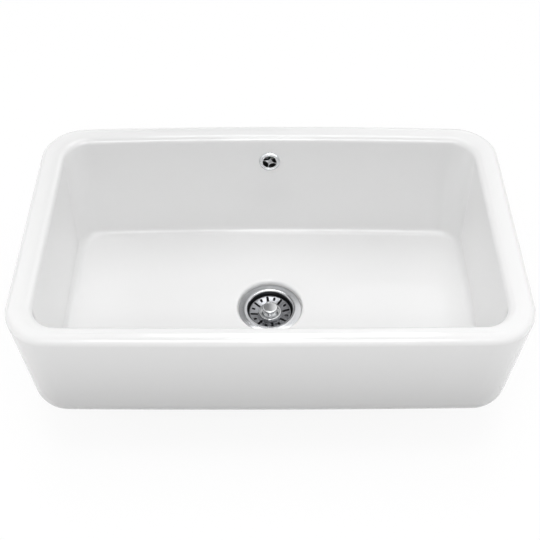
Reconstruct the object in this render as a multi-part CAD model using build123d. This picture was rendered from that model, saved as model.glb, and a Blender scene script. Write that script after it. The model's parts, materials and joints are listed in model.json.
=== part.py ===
from build123d import *
from math import atan, cos, degrees, radians, sin, sqrt
import os

# Farmhouse apron front sink: a glazed fireclay bowl, its basket strainer waste and its overflow.
# Millimetres. +Z is up, the apron front faces -Y, and the origin is the middle of the flat underside.

# ---- fireclay body: outside --------------------------------------------------------------------
WIDTH = 795.0                # across the rim, left to right
DEPTH = 475.0                # across the rim at its corners, front to back
BACK_BOW = 9.5               # how far the back edge swells past its corners
FRONT_BOW = 3.1              # how far the apron swells past its corners
BODY_CORNER = 72.0           # plan radius of the four corners at the rim
BODY_TAPER = 14.0            # how far each outer face leans in from rim to underside
BASE_ROUND = 47.0            # big soft round between the walls and the underside
RIM_ROUND_OUT = 14.0         # rolled rim, outer side
RIM_ROUND_IN = 12.0          # rolled rim, bowl side

# ---- fireclay body: bowl -----------------------------------------------------------------------
SIDE_WALL = 40.7             # wall at the rim, left and right
BACK_WALL = 38.5             # wall at the rim, back, in the middle
FRONT_WALL = 32.0            # wall at the rim, front, in the middle
BOWL_DEPTH = 200.0           # rim to the flat of the floor
BASE = 28.0                  # fireclay under the flat of the floor
BOWL_CORNER = 43.0           # plan radius of the bowl's corners
SIDE_DRAFT = 1.5             # how far each bowl wall leans in from rim to floor
BACK_DRAFT = 35.0
FRONT_DRAFT = 6.0
FLOOR_ROUND = 14.0           # round between the bowl's walls and floor
FALL_RADIUS = 140.0          # the floor falls to the drain inside this radius
FALL = 2.0                   # by this much

# ---- drain -------------------------------------------------------------------------------------
DRAIN_Y = -8.0               # the drain's axis, a little in front of the middle
DRAIN_HOLE_R = 45.0          # 90 mm hole for a basket strainer waste
SEAT_PLAY = 1.5              # round recess that the flange sits in: gap outside the flange
SEAT_DROP = 14.0             # flat of the floor to that seat
SEAT_LIP = 4.0               # soft glazed lip of the recess
POCKET_PLAY = 5.0            # round pocket under the base: gap outside the waste body's flange
POCKET_DEPTH = 3.0

# ---- strainer body (pressed stainless) ---------------------------------------------------------
FLANGE_R = 56.0
FLANGE_T = 2.0               # rolled flange, over all
FLANGE_SEAL_T = 2.0
SEAL_PLAY = 0.5              # the seal's hole is this much wider than the drain's
SHOULDER_OUT = 44.5          # raised ring between the flange and the well
SHOULDER_IN = 41.5
SHOULDER_RISE = 0.6
WELL_R = 40.0                # inside of the well
SHEET = 1.2                  # pressed sheet
WELL_DEPTH = 32.0            # flange top to the well's floor
WELL_ROUND = 4.0
THROAT_R = 23.0              # hole in the well's floor that the basket's seal closes
THROAT_DEPTH = 17.0          # below the well's floor
THROAT_HOLES = 6
THROAT_HOLE_R = 4.5
THROAT_HOLES_AT = 16.5       # radius of their circle

# ---- fixing screw and its catch ----------------------------------------------------------------
SCREW_R = 4.0                # M8 shank
SCREW_SHORT = 0.5            # the screw ends this much above the bottom of its insert
SCREW_HEAD_R = 9.0
SCREW_HEAD_T = 8.0
SCREW_WASHER_R = 10.5
SCREW_WASHER_T = 1.0
CATCH_R = 6.5                # bore in the screw's head
CATCH_DEPTH = 7.0
RUNNING = 0.05               # radial clearance of a turning or sliding fit
FIT = 0.05                   # radial play of a thread or a loose hole
GAP = 0.3                    # clearance between parts that only pass or rest near each other
INSERT_R = 7.5
INSERT_T = 8.0

# ---- basket ------------------------------------------------------------------------------------
DISH_R = 37.8                # outside of the basket's rim
DISH_DROP = 9.5              # flange top to the dish's rim
DISH_FALL = 3.6              # the dish falls this much from its rim to the hub
DISH_T = 1.0
DISH_SKIRT = 7.0             # turned-down edge of the dish
RIM_WIDTH = 2.0              # plain band outside the slots
SLOT_PAIRS = 8               # long slots, with a short one between each two
SLOT_WIDTH = 4.2
LONG_SLOT = (21.5, 35.4)     # inner and outer end radius
SHORT_SLOT = (27.0, 33.6)
FIRST_SLOT_ANGLE = 8.0
HUB_R = 18.8
HUB_T = 5.5
HUB_CUP_R = 15.8             # concave top of the hub
HUB_CUP_DEPTH = 3.0
KNOB_R = 13.0
KNOB_NECK_R = 9.5
KNOB_RISE = 5.0              # knob's top above the flange
KNOB_EDGE = 4.0              # thickness of the mushroom's edge
POST_R = 3.5
SPACER_R = 6.5
PLATE_R = 19.0
PLATE_T = 1.0
SEAL_R = 26.5
SEAL_T = 3.6
SEAL_PLUG_R = 21.5           # part of the rubber seal that reaches into the throat
SEAL_PLUG_T = 3.0
NUT_FLATS = 11.0
NUT_T = 4.0
POST_RING_T = 1.2
POST_RING_W = 0.7
POST_TIP = 2.0               # post below its snap ring

# ---- waste body (moulded plastic) --------------------------------------------------------------
BASE_SEAL_T = 2.5
BODY_FLANGE_WIDTH = 11.5     # flange and seal outside the cup
BODY_FLANGE_T = 4.0
CUP_R = 43.5                 # inside of the cup
CUP_WALL = 3.0
CUP_CLEAR = 4.3              # bottom of the strainer's throat to where the funnel starts
FUNNEL = 11.0
OUTLET_R = 19.5              # bore of the outlet
THREAD_R = 23.9              # 1 1/2 inch male thread
THREAD_LENGTH = 28.0
OUTLET_NECK = 4.0            # plain neck above the thread
NECK_R = 27.0
FLANGE_RIBS = 12
RIB_T = 2.5
SPIDER_ARMS = 3
FIRST_ARM_ANGLE = 30.0
SPIDER_T = 4.0
SPIDER_BOSS_R = 10.5
SPIDER_HEIGHT = 9.0
OUTLET_STEP = 0.5            # the bore is this much tighter at the spider and above
RIB_DEPTH = 12.0

# ---- overflow ----------------------------------------------------------------------------------
OVERFLOW_DROP = 48.0         # rim to the middle of the overflow hole, on the bowl's back wall
OVERFLOW_HOLE_R = 14.0
COVER_LAND = 0.3             # shallow flat land round the hole, so that the cover sits flat
COVER_R = 18.4
COVER_WINDOW_R = 12.0
COVER_T = 3.0
COVER_EDGE = 1.2             # bevel round the cover
COVER_SEAL_T = 0.8
COVER_NECK_R = 13.4
COVER_NECK_T = 1.4
COVER_NECK_LENGTH = 9.0
STAR_T = 2.4
STAR_TAPER = 25.0
STAR_TIP_WIDTH = 1.6
STUD_GRIP = 5.0              # stud's length in the cover's boss
STAR_WAIST_R = 4.3           # the star's concave sides come this near to its middle
STAR_TURN = -15.0
STUD_R = 2.5
STUD_BOSS_R = 4.0
REAR_SPOT_R = 26.0           # ground spot face on the back of the wall
REAR_SPOT_DEPTH = 4.5        # on the hole's axis
REAR_SEAL_R = 24.0
REAR_SEAL_T = 2.5
ELBOW_FLANGE_T = 3.0
ELBOW_R = 13.2
ELBOW_BORE_R = 10.5
ELBOW_NECK = 12.0            # how far the elbow's neck goes into the hole
ELBOW_BAR_T = 3.0            # cross bar that holds the brass insert
ELBOW_BOSS_R = 5.5
STUD_INSERT_R = 4.0
STUD_INSERT_T = 6.0
PIPE_R = 10.0
PIPE_BORE_R = 8.0
PIPE_STANDOFF = 16.5         # back of the body at the rim to the pipe's axis
PIPE_BEND = 32.0
SOCKET_R = 12.6              # outside of a pipe socket
SOCKET_LENGTH = 24.0         # elbow's axis to the end of its socket
SOCKET_DEPTH = 9.0           # how far the pipe goes into a socket
NUT_R = 17.0
COMPRESSION_NUT_T = 18.0
NUT_LIP = 3.0                # closed end of the nut, round the pipe
NUT_RIB = 1.2
NUT_RIBS = 12
SEAL_RING_T = 4.0
INLET_RISE = 9.0             # axis of the waste body's overflow inlet, above the throat's plate
INLET_REACH = 66.0           # drain's axis to the end of the inlet

# ---- worked out --------------------------------------------------------------------------------
CUP_OUT = CUP_R + CUP_WALL
BODY_FLANGE_R = CUP_OUT + BODY_FLANGE_WIDTH
POCKET_R = BODY_FLANGE_R + POCKET_PLAY
SEAT_R = FLANGE_R + SEAT_PLAY
FLOOR_Z = BASE
HEIGHT = BASE + BOWL_DEPTH                          # underside to rim
SEAT_Z = FLOOR_Z - SEAT_DROP
FLANGE_Z = SEAT_Z + FLANGE_SEAL_T + FLANGE_T        # top of the strainer's flange
WELL_FLOOR_Z = FLANGE_Z - WELL_DEPTH
THROAT_Z = WELL_FLOOR_Z - THROAT_DEPTH              # upper side of the throat's bottom plate
SCREW_HEAD_Z = THROAT_Z + SCREW_WASHER_T            # underside of the screw's head
SCREW_TOP_Z = SCREW_HEAD_Z + SCREW_HEAD_T
BODY_FLANGE_Z = POCKET_DEPTH - BASE_SEAL_T          # top of the waste body's flange
FUNNEL_Z = THROAT_Z - SHEET - CUP_CLEAR
OUTLET_TOP_Z = FUNNEL_Z - FUNNEL
SPIDER_Z = OUTLET_TOP_Z                             # top of the spider
SPIDER_END_Z = SPIDER_Z - SPIDER_HEIGHT
THREAD_TOP_Z = OUTLET_TOP_Z - OUTLET_NECK
OUTLET_END_Z = THREAD_TOP_Z - THREAD_LENGTH
DISH_Z = FLANGE_Z - DISH_DROP                       # top of the dish's rim
DISH_MIDDLE_Z = DISH_Z - DISH_FALL                  # top of the dish at the hub
SPACER_TOP_Z = DISH_MIDDLE_Z - DISH_T
SEAL_BOTTOM_Z = WELL_FLOOR_Z + GAP
SEAL_TOP_Z = SEAL_BOTTOM_Z + SEAL_T
PLATE_TOP_Z = SEAL_TOP_Z + PLATE_T
PLUG_BOTTOM_Z = SEAL_BOTTOM_Z - SEAL_PLUG_T
BACK_LEAN = degrees(atan(BACK_DRAFT / BOWL_DEPTH))
BACK_INNER_Y = DEPTH / 2 + BACK_BOW - BACK_WALL     # bowl's back wall at the rim, in the middle
FRONT_INNER_Y = -(DEPTH / 2 + FRONT_BOW - FRONT_WALL)
OVERFLOW_POINT = (0, BACK_INNER_Y - BACK_DRAFT * OVERFLOW_DROP / BOWL_DEPTH, HEIGHT - OVERFLOW_DROP)
LEAN_COS = cos(radians(BACK_LEAN))
LEAN_SIN = sin(radians(BACK_LEAN))
# +Z of this plane points into the bowl, square to its back wall
OVERFLOW_PLANE = Plane(origin=OVERFLOW_POINT, x_dir=(1, 0, 0), z_dir=(0, -LEAN_COS, LEAN_SIN))
# run of the hole's axis from the bowl's back wall to the body's back face, and to the spot face there
BACK_RUN = (
    (DEPTH / 2 + BACK_BOW - BODY_TAPER * OVERFLOW_DROP / HEIGHT - OVERFLOW_POINT[1])
    / (1 + BODY_TAPER / HEIGHT * BACK_DRAFT / BOWL_DEPTH)
    / LEAN_COS
)
SPOT_AT = BACK_RUN - REAR_SPOT_DEPTH
ELBOW_FLANGE_AT = SPOT_AT + REAR_SEAL_T
PIPE_Y = DEPTH / 2 + BACK_BOW + PIPE_STANDOFF
ELBOW_AT = (PIPE_Y - OVERFLOW_POINT[1]) / LEAN_COS              # along the hole's axis to the pipe's axis
ELBOW_Z = OVERFLOW_POINT[2] - ELBOW_AT * LEAN_SIN
NECK_AT = SPOT_AT - ELBOW_NECK                                  # front end of the elbow's neck
INLET_Z = THROAT_Z + INLET_RISE
POST_TOP_Z = FLANGE_Z - 3                                       # top of the post, inside the knob
POST_END_Z = SCREW_TOP_Z - CATCH_DEPTH + 2 * GAP
DRAIN = Pos(0, DRAIN_Y, 0)
OVERFLOW = OVERFLOW_PLANE.location


# ---- helpers -----------------------------------------------------------------------------------
def lathe(*corners):
    """A solid turned about Z. A corner is (radius, height) or (radius, height, rounding)."""
    rounding = [corner[2] if len(corner) > 2 else 0 for corner in corners]
    outline = FilletPolyline(*[corner[:2] for corner in corners], radius=rounding, close=True)
    return revolve(Plane.XZ * make_face(outline), Axis.Z)


def ring(outer, inner, low, high):
    """A plain ring about Z."""
    return lathe((inner, low), (outer, low), (outer, high), (inner, high))


def rod(radius, low, high):
    """A plain cylinder about Z."""
    return Pos(0, 0, low) * Cylinder(radius, high - low, align=(Align.CENTER, Align.CENTER, Align.MIN))


def around(shape, count, first=0):
    """Copies of a shape, evenly spaced about Z."""
    return [Rot(0, 0, first + 360 / count * i) * shape for i in range(count)]


def save(node, shape):
    """Write one named piece."""
    export_step(shape, f"parts/{node}.step")


# ---- fireclay body -----------------------------------------------------------------------------
def bow_over(half_width, bow):
    """Height of the edge's arc over a narrower width: the arc spans the whole body's width."""
    radius = ((WIDTH / 2) ** 2 + bow**2) / (2 * bow)
    return radius - sqrt(radius**2 - half_width**2)


def plan(half_width, back_y, front_y, corner, z):
    """A level section: straight sides, bowed back and front, round corners; y is given at the middle."""
    back_bow = bow_over(half_width, BACK_BOW)
    front_bow = bow_over(half_width, FRONT_BOW)
    back_left = (-half_width, back_y - back_bow)
    back_right = (half_width, back_y - back_bow)
    front_left = (-half_width, front_y + front_bow)
    front_right = (half_width, front_y + front_bow)
    edges = [
        ThreePointArc(back_right, (0, back_y), back_left),
        Line(back_left, front_left),
        ThreePointArc(front_left, (0, front_y), front_right),
        Line(front_right, back_right),
    ]
    face = make_face(edges)
    return Pos(0, 0, z) * fillet(face.vertices(), corner)


def body_section(z):
    """Outside of the body at a height."""
    lean = BODY_TAPER * (HEIGHT - z) / HEIGHT
    back_y = DEPTH / 2 + BACK_BOW - lean
    front_y = -(DEPTH / 2 + FRONT_BOW) + lean
    return plan(WIDTH / 2 - lean, back_y, front_y, BODY_CORNER - lean, z)


def bowl_section(z):
    """Inside of the bowl at a height."""
    share = (HEIGHT - z) / BOWL_DEPTH
    half_width = WIDTH / 2 - SIDE_WALL - SIDE_DRAFT * share
    back_y = BACK_INNER_Y - BACK_DRAFT * share
    front_y = FRONT_INNER_Y + FRONT_DRAFT * share
    return plan(half_width, back_y, front_y, BOWL_CORNER, z)


def at_height(shape, z):
    """The edges that lie level at one height."""
    return shape.edges().filter_by_position(Axis.Z, z - 0.01, z + 0.01)


def sink_bowl():
    body = loft([body_section(0), body_section(HEIGHT)], ruled=True)
    body = fillet(at_height(body, 0), BASE_ROUND)
    above = 6
    hollow = loft([bowl_section(FLOOR_Z), bowl_section(HEIGHT + above)], ruled=True)
    hollow = fillet(at_height(hollow, FLOOR_Z), FLOOR_ROUND)
    body -= hollow
    rim = body.faces().filter_by(Axis.Z).sort_by(Axis.Z)[-1]
    body = fillet(rim.outer_wire().edges(), RIM_ROUND_OUT)
    rim = body.faces().filter_by(Axis.Z).sort_by(Axis.Z)[-1]
    body = fillet(rim.inner_wires()[0].edges(), RIM_ROUND_IN)
    body -= DRAIN * drain_cutter()
    body -= OVERFLOW * overflow_cutter()
    return body


def drain_cutter():
    """Falling floor, flange seat, hole and the pocket under the base, as one turned shape."""
    lip_z = FLOOR_Z - FALL
    return lathe(
        (0, -1),
        (POCKET_R, -1),
        (POCKET_R, POCKET_DEPTH),
        (DRAIN_HOLE_R, POCKET_DEPTH),
        (DRAIN_HOLE_R, SEAT_Z),
        (SEAT_R, SEAT_Z),
        (SEAT_R, lip_z, SEAT_LIP),
        (FALL_RADIUS, FLOOR_Z),
        (FALL_RADIUS, FLOOR_Z + 1),
        (0, FLOOR_Z + 1),
    )


def overflow_cutter():
    """Hole through the back wall, the land round its mouth and the spot face behind it."""
    return lathe(
        (0, 8),
        (COVER_R + GAP, 8),
        (COVER_R + GAP, -COVER_LAND),
        (OVERFLOW_HOLE_R, -COVER_LAND),
        (OVERFLOW_HOLE_R, -SPOT_AT),
        (REAR_SPOT_R, -SPOT_AT),
        (REAR_SPOT_R, -BACK_RUN - 12),
        (0, -BACK_RUN - 12),
    )


# ---- strainer body and what clamps it ----------------------------------------------------------
def strainer_body():
    under = FLANGE_Z - FLANGE_T
    body = lathe(
        (FLANGE_R, under),
        (FLANGE_R, FLANGE_Z, 0.9),
        (SHOULDER_OUT + 1.0, FLANGE_Z - 0.9, 1.0),
        (SHOULDER_OUT - 0.4, FLANGE_Z + SHOULDER_RISE, 0.8),
        (SHOULDER_IN, FLANGE_Z + SHOULDER_RISE, 0.8),
        (WELL_R, under, 1.0),
        (WELL_R, WELL_FLOOR_Z, WELL_ROUND),
        (THROAT_R, WELL_FLOOR_Z, 1.0),
        (THROAT_R, THROAT_Z),
        (SCREW_R + FIT, THROAT_Z),
        (SCREW_R + FIT, THROAT_Z - SHEET),
        (THROAT_R + SHEET, THROAT_Z - SHEET),
        (THROAT_R + SHEET, WELL_FLOOR_Z - SHEET),
        (WELL_R + SHEET, WELL_FLOOR_Z - SHEET, WELL_ROUND + SHEET),
        (WELL_R + SHEET, under),
    )
    hole = Pos(THROAT_HOLES_AT, 0, 0) * rod(THROAT_HOLE_R, THROAT_Z - 2 * SHEET, THROAT_Z + SHEET)
    return body - around(hole, THROAT_HOLES)


def flange_seal():
    return ring(FLANGE_R - 0.5, DRAIN_HOLE_R + SEAL_PLAY, SEAT_Z, SEAT_Z + FLANGE_SEAL_T)


def base_seal():
    return ring(BODY_FLANGE_R, CUP_OUT, BODY_FLANGE_Z, POCKET_DEPTH)


def screw_washer():
    return ring(SCREW_WASHER_R, SCREW_R + FIT, THROAT_Z, SCREW_HEAD_Z)


def fixing_screw():
    end = SPIDER_END_Z + SCREW_SHORT
    screw = lathe(
        (0, end),
        (SCREW_R, end, 0.8),
        (SCREW_R, SCREW_HEAD_Z),
        (SCREW_HEAD_R, SCREW_HEAD_Z),
        (SCREW_HEAD_R, SCREW_TOP_Z, 0.6),
        (CATCH_R, SCREW_TOP_Z),
        (CATCH_R, SCREW_TOP_Z - CATCH_DEPTH),
        (0, SCREW_TOP_Z - CATCH_DEPTH),
    )
    slot = Pos(0, 0, SCREW_TOP_Z) * Box(2 * SCREW_HEAD_R + 2, 2.4, 3.0)
    return screw - slot


def waste_insert_nut():
    return ring(INSERT_R, SCREW_R + FIT, SPIDER_END_Z, SPIDER_END_Z + INSERT_T)


def catch_bush():
    low = SCREW_TOP_Z - CATCH_DEPTH + GAP
    return ring(CATCH_R - RUNNING, POST_R + RUNNING, low, SCREW_TOP_Z)


# ---- basket ------------------------------------------------------------------------------------
def basket_dish():
    bend = HUB_R + 1.2
    inside = DISH_R - DISH_T
    dish = lathe(
        (DISH_R, DISH_Z, 0.9),
        (DISH_R - RIM_WIDTH, DISH_Z, 1.0),
        (bend, DISH_MIDDLE_Z, 1.0),
        (POST_R, DISH_MIDDLE_Z),
        (POST_R, SPACER_TOP_Z),
        (bend, SPACER_TOP_Z),
        (DISH_R - RIM_WIDTH, DISH_Z - DISH_T),
        (inside, DISH_Z - DISH_T),
        (inside, DISH_Z - DISH_SKIRT),
        (DISH_R, DISH_Z - DISH_SKIRT),
    )
    step = 360 / SLOT_PAIRS
    cuts = around(radial_slot(*LONG_SLOT), SLOT_PAIRS, FIRST_SLOT_ANGLE)
    cuts += around(radial_slot(*SHORT_SLOT), SLOT_PAIRS, FIRST_SLOT_ANGLE + step / 2)
    return dish - cuts


def radial_slot(inner, outer):
    """Cutter for one round-ended slot that points away from the post."""
    shape = SlotOverall(outer - inner, SLOT_WIDTH)
    low = DISH_MIDDLE_Z - 2 * DISH_T
    return Pos((inner + outer) / 2, 0, low) * extrude(shape, DISH_FALL + 4 * DISH_T)


def basket_hub():
    cup_z = DISH_MIDDLE_Z + HUB_T - HUB_CUP_DEPTH
    return lathe(
        (POST_R, DISH_MIDDLE_Z),
        (HUB_R, DISH_MIDDLE_Z),
        (HUB_R, DISH_MIDDLE_Z + HUB_T, 1.2),
        (HUB_CUP_R, DISH_MIDDLE_Z + HUB_T, 0.6),
        (KNOB_NECK_R + 2, cup_z, 2.0),
        (POST_R, cup_z),
    )


def basket_knob():
    low = DISH_MIDDLE_Z + HUB_T - HUB_CUP_DEPTH
    top = FLANGE_Z + KNOB_RISE
    return lathe(
        (0, top),
        (KNOB_R, top, 1.8),
        (KNOB_R, top - KNOB_EDGE, 1.2),
        (KNOB_NECK_R - 1.5, top - KNOB_EDGE - 3, 3.0),
        (KNOB_NECK_R, low),
        (POST_R, low),
        (POST_R, POST_TOP_Z),
        (0, POST_TOP_Z),
    )


def basket_post():
    groove_top = POST_END_Z + POST_TIP + POST_RING_T
    return lathe(
        (0, POST_END_Z),
        (POST_R, POST_END_Z, 0.8),
        (POST_R, POST_END_Z + POST_TIP),
        (POST_R - POST_RING_W, POST_END_Z + POST_TIP),
        (POST_R - POST_RING_W, groove_top),
        (POST_R, groove_top),
        (POST_R, POST_TOP_Z),
        (0, POST_TOP_Z),
    )


def post_ring():
    low = POST_END_Z + POST_TIP
    return ring(POST_R, POST_R - POST_RING_W, low, low + POST_RING_T)


def basket_spacer():
    return ring(SPACER_R, POST_R, PLATE_TOP_Z, SPACER_TOP_Z)


def basket_plate():
    return ring(PLATE_R, POST_R, SEAL_TOP_Z, PLATE_TOP_Z)


def basket_seal():
    return lathe(
        (POST_R, SEAL_TOP_Z),
        (SEAL_R - 1.5, SEAL_TOP_Z, 0.8),
        (SEAL_R, SEAL_BOTTOM_Z, 0.8),
        (SEAL_PLUG_R, SEAL_BOTTOM_Z),
        (SEAL_PLUG_R - 1.0, PLUG_BOTTOM_Z, 1.0),
        (POST_R, PLUG_BOTTOM_Z),
    )


def basket_nut():
    outline = RegularPolygon(NUT_FLATS / 2, 6, major_radius=False) - Circle(POST_R)
    return Pos(0, 0, PLUG_BOTTOM_Z - NUT_T) * extrude(outline, NUT_T)


# ---- waste body --------------------------------------------------------------------------------
def waste_body():
    flange_low = BODY_FLANGE_Z - BODY_FLANGE_T
    throat = OUTLET_R - OUTLET_STEP
    body = lathe(
        (BODY_FLANGE_R, BODY_FLANGE_Z),
        (BODY_FLANGE_R, flange_low, 1.0),
        (CUP_OUT, flange_low, 1.5),
        (CUP_OUT, FUNNEL_Z - 1.5, 3.0),
        (NECK_R, OUTLET_TOP_Z - 2.5),
        (NECK_R, THREAD_TOP_Z),
        (THREAD_R, THREAD_TOP_Z),
        (THREAD_R, OUTLET_END_Z),
        (OUTLET_R, OUTLET_END_Z),
        (OUTLET_R, SPIDER_END_Z),
        (throat, SPIDER_END_Z),
        (throat, OUTLET_TOP_Z),
        (CUP_R, FUNNEL_Z, 3.0),
        (CUP_R, BODY_FLANGE_Z),
    )
    # overflow inlet, on the side towards the back wall
    inlet = Pos(0, 0, INLET_Z) * Rot(-90, 0, 0)
    body += inlet * rod(SOCKET_R, CUP_R + 1, INLET_REACH)
    body -= inlet * rod(PIPE_BORE_R, CUP_R - 3, INLET_REACH)
    body -= inlet * rod(PIPE_R + FIT, INLET_REACH - SOCKET_DEPTH, INLET_REACH + 1)
    # ribs under the flange
    rib_in = CUP_R + CUP_WALL / 2
    rib_low = flange_low - RIB_DEPTH
    rib_out = BODY_FLANGE_R - 2
    profile = Polyline(
        (rib_in, flange_low), (rib_out, flange_low), (CUP_OUT, rib_low), (rib_in, rib_low), close=True
    )
    rib = extrude(Plane.XZ * make_face(profile), RIB_T / 2, both=True)
    body += around(rib, FLANGE_RIBS, 180 / FLANGE_RIBS)
    # three-legged spider with the insert's boss
    arm = Pos(throat / 2 + 1, 0, SPIDER_Z - SPIDER_HEIGHT / 2) * Box(throat + 2, SPIDER_T, SPIDER_HEIGHT)
    spider = rod(SPIDER_BOSS_R, SPIDER_END_Z, SPIDER_Z)
    spider += around(arm, SPIDER_ARMS, FIRST_ARM_ANGLE)
    spider -= rod(INSERT_R + FIT, SPIDER_END_Z - 1, SPIDER_END_Z + INSERT_T)
    spider -= rod(SCREW_R + FIT, SPIDER_END_Z - 1, SPIDER_Z + 1)
    return body + spider


# ---- overflow ----------------------------------------------------------------------------------
def overflow_cover():
    """Bevelled ring with a neck behind it, and a four-pointed star across its window."""
    back = COVER_SEAL_T - COVER_LAND
    front = back + COVER_T
    neck_in = COVER_NECK_R - COVER_NECK_T
    body = lathe(
        (COVER_WINDOW_R, front - 0.6, 0.5),
        (COVER_WINDOW_R + 1.2, front, 0.5),
        (COVER_R - COVER_EDGE - 1, front, 1.0),
        (COVER_R, back + COVER_T / 3, 0.6),
        (COVER_R, back),
        (COVER_NECK_R, back),
        (COVER_NECK_R, back - COVER_NECK_LENGTH),
        (neck_in, back - COVER_NECK_LENGTH),
        (neck_in, back),
    )
    body += Pos(0, 0, back) * extrude(star(COVER_WINDOW_R + 0.6), STAR_T, taper=STAR_TAPER)
    body += rod(STUD_BOSS_R, back - STUD_GRIP, back + STAR_T / 2)
    body -= rod(STUD_R + FIT, back - STUD_GRIP - 1, back)
    return body


def star(tip):
    """Four-pointed star with concave sides."""
    waist = STAR_WAIST_R / sqrt(2)
    points = [(tip, 0), (0, tip), (-tip, 0), (0, -tip)]
    middles = [(waist, waist), (-waist, waist), (-waist, -waist), (waist, -waist)]
    half = STAR_TIP_WIDTH / 2
    edges = []
    for i, middle in enumerate(middles):
        start, end = Vector(points[i]), Vector(points[(i + 1) % 4])
        side = end.normalized() * half
        other = start.normalized() * half
        edges.append(ThreePointArc(start + side, middle, end + other))
        edges.append(Line(end + other, end - other))
    return Rot(0, 0, STAR_TURN) * make_face(edges)


def overflow_cover_seal():
    return ring(COVER_R - 0.8, OVERFLOW_HOLE_R + 0.2, -COVER_LAND, COVER_SEAL_T - COVER_LAND)


def overflow_stud():
    back = COVER_SEAL_T - COVER_LAND
    return rod(STUD_R, -NECK_AT - STUD_INSERT_T - 2, back)


def overflow_insert():
    return ring(STUD_INSERT_R, STUD_R + FIT, -NECK_AT - STUD_INSERT_T, -NECK_AT)


def overflow_rear_seal():
    return ring(REAR_SEAL_R, ELBOW_R + FIT, -ELBOW_FLANGE_AT, -SPOT_AT)


def overflow_elbow():
    """Neck, flange and a round bend into a pipe socket that points straight down."""
    flange_back = ELBOW_FLANGE_AT + ELBOW_FLANGE_T
    turned = lathe(
        (0, -NECK_AT),
        (ELBOW_R, -NECK_AT),
        (ELBOW_R, -ELBOW_FLANGE_AT),
        (REAR_SEAL_R, -ELBOW_FLANGE_AT),
        (REAR_SEAL_R, -flange_back, 0.8),
        (ELBOW_R, -flange_back, 1.0),
        (ELBOW_R, -ELBOW_AT),
        (0, -ELBOW_AT),
    )
    bend = Pos(0, PIPE_Y, ELBOW_Z)
    body = OVERFLOW * turned
    body += bend * Sphere(ELBOW_R)
    body += bend * rod(SOCKET_R, -SOCKET_LENGTH, 0)
    body -= OVERFLOW * rod(ELBOW_BORE_R, -ELBOW_AT, -NECK_AT + 1)
    body -= bend * Sphere(ELBOW_BORE_R)
    body -= bend * rod(PIPE_BORE_R, -SOCKET_LENGTH - 1, 0)
    body -= bend * rod(PIPE_R + FIT, -SOCKET_LENGTH - 1, -SOCKET_LENGTH + SOCKET_DEPTH)
    bar_at = -NECK_AT - STUD_INSERT_T / 2
    bar = Pos(0, 0, bar_at) * Box(2 * ELBOW_BORE_R + 1, ELBOW_BAR_T, STUD_INSERT_T)
    bar += rod(ELBOW_BOSS_R, -NECK_AT - STUD_INSERT_T, -NECK_AT)
    bar -= rod(STUD_INSERT_R + FIT, -NECK_AT - STUD_INSERT_T - 1, -NECK_AT + 1)
    return body + OVERFLOW * bar


def compression_nut():
    """Ribbed nut about Z that closes over a socket whose end is at z = 0, with the pipe coming from below."""
    bore = SOCKET_R + FIT
    low = -SEAL_RING_T - NUT_LIP
    grip = low + COMPRESSION_NUT_T
    nut = lathe(
        (PIPE_R + GAP, low),
        (NUT_R - NUT_RIB, low, 0.8),
        (NUT_R - NUT_RIB, grip, 0.8),
        (bore, grip),
        (bore, -SEAL_RING_T),
        (PIPE_R + GAP, -SEAL_RING_T),
    )
    rib = Pos(NUT_R - NUT_RIB, 0, 0) * rod(NUT_RIB, low + 1, grip - 1)
    return nut + around(rib, NUT_RIBS)


def socket_seal():
    """Cone seal squeezed between a socket's end and its nut."""
    return lathe(
        (PIPE_R + FIT, 0),
        (SOCKET_R, 0),
        (SOCKET_R, 1 - SEAL_RING_T),
        (SOCKET_R - 1, -SEAL_RING_T),
        (PIPE_R + FIT, -SEAL_RING_T),
    )


def overflow_pipe():
    top = (0, PIPE_Y, ELBOW_Z - SOCKET_LENGTH + SOCKET_DEPTH)
    corner = (0, PIPE_Y, INLET_Z)
    end = (0, DRAIN_Y + INLET_REACH - SOCKET_DEPTH, INLET_Z)
    route = FilletPolyline(top, corner, end, radius=PIPE_BEND)
    section = Plane(origin=top, z_dir=(0, 0, -1)) * (Circle(PIPE_R) - Circle(PIPE_BORE_R))
    return sweep(section, route)


# ---- write the pieces --------------------------------------------------------------------------
os.makedirs("parts", exist_ok=True)

waste = (strainer_body, flange_seal, base_seal, waste_body, waste_insert_nut)
waste += (fixing_screw, screw_washer, catch_bush)
basket = (basket_dish, basket_hub, basket_knob, basket_post, post_ring)
basket += (basket_spacer, basket_plate, basket_seal, basket_nut)
grille = (overflow_cover, overflow_cover_seal, overflow_stud, overflow_insert, overflow_rear_seal)

save("sink_bowl", sink_bowl())
for make in waste + basket:
    save(make.__name__, DRAIN * make())
for make in grille:
    save(make.__name__, OVERFLOW * make())
save("overflow_elbow", overflow_elbow())
save("overflow_pipe", overflow_pipe())

elbow_end = Pos(0, PIPE_Y, ELBOW_Z - SOCKET_LENGTH)
inlet_end = Pos(0, DRAIN_Y + INLET_REACH, INLET_Z) * Rot(90, 0, 0)
for name, place in (("top", elbow_end), ("bottom", inlet_end)):
    save(f"overflow_{name}_nut", place * compression_nut())
    save(f"overflow_{name}_seal", place * socket_seal())
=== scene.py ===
# %% [markdown]
# # A farmhouse sink in white fireclay
# The real sink is one thick block of fireclay under a white glaze. A basket strainer waste sits in
# its floor and a small overflow in its back wall, with the plumbing out of sight below and behind.
# An engineering model already fixes every size and place. This lesson only makes it look right: it
# loads that model, puts finer skins over the pieces that show, and gives every piece its finish.

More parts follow.
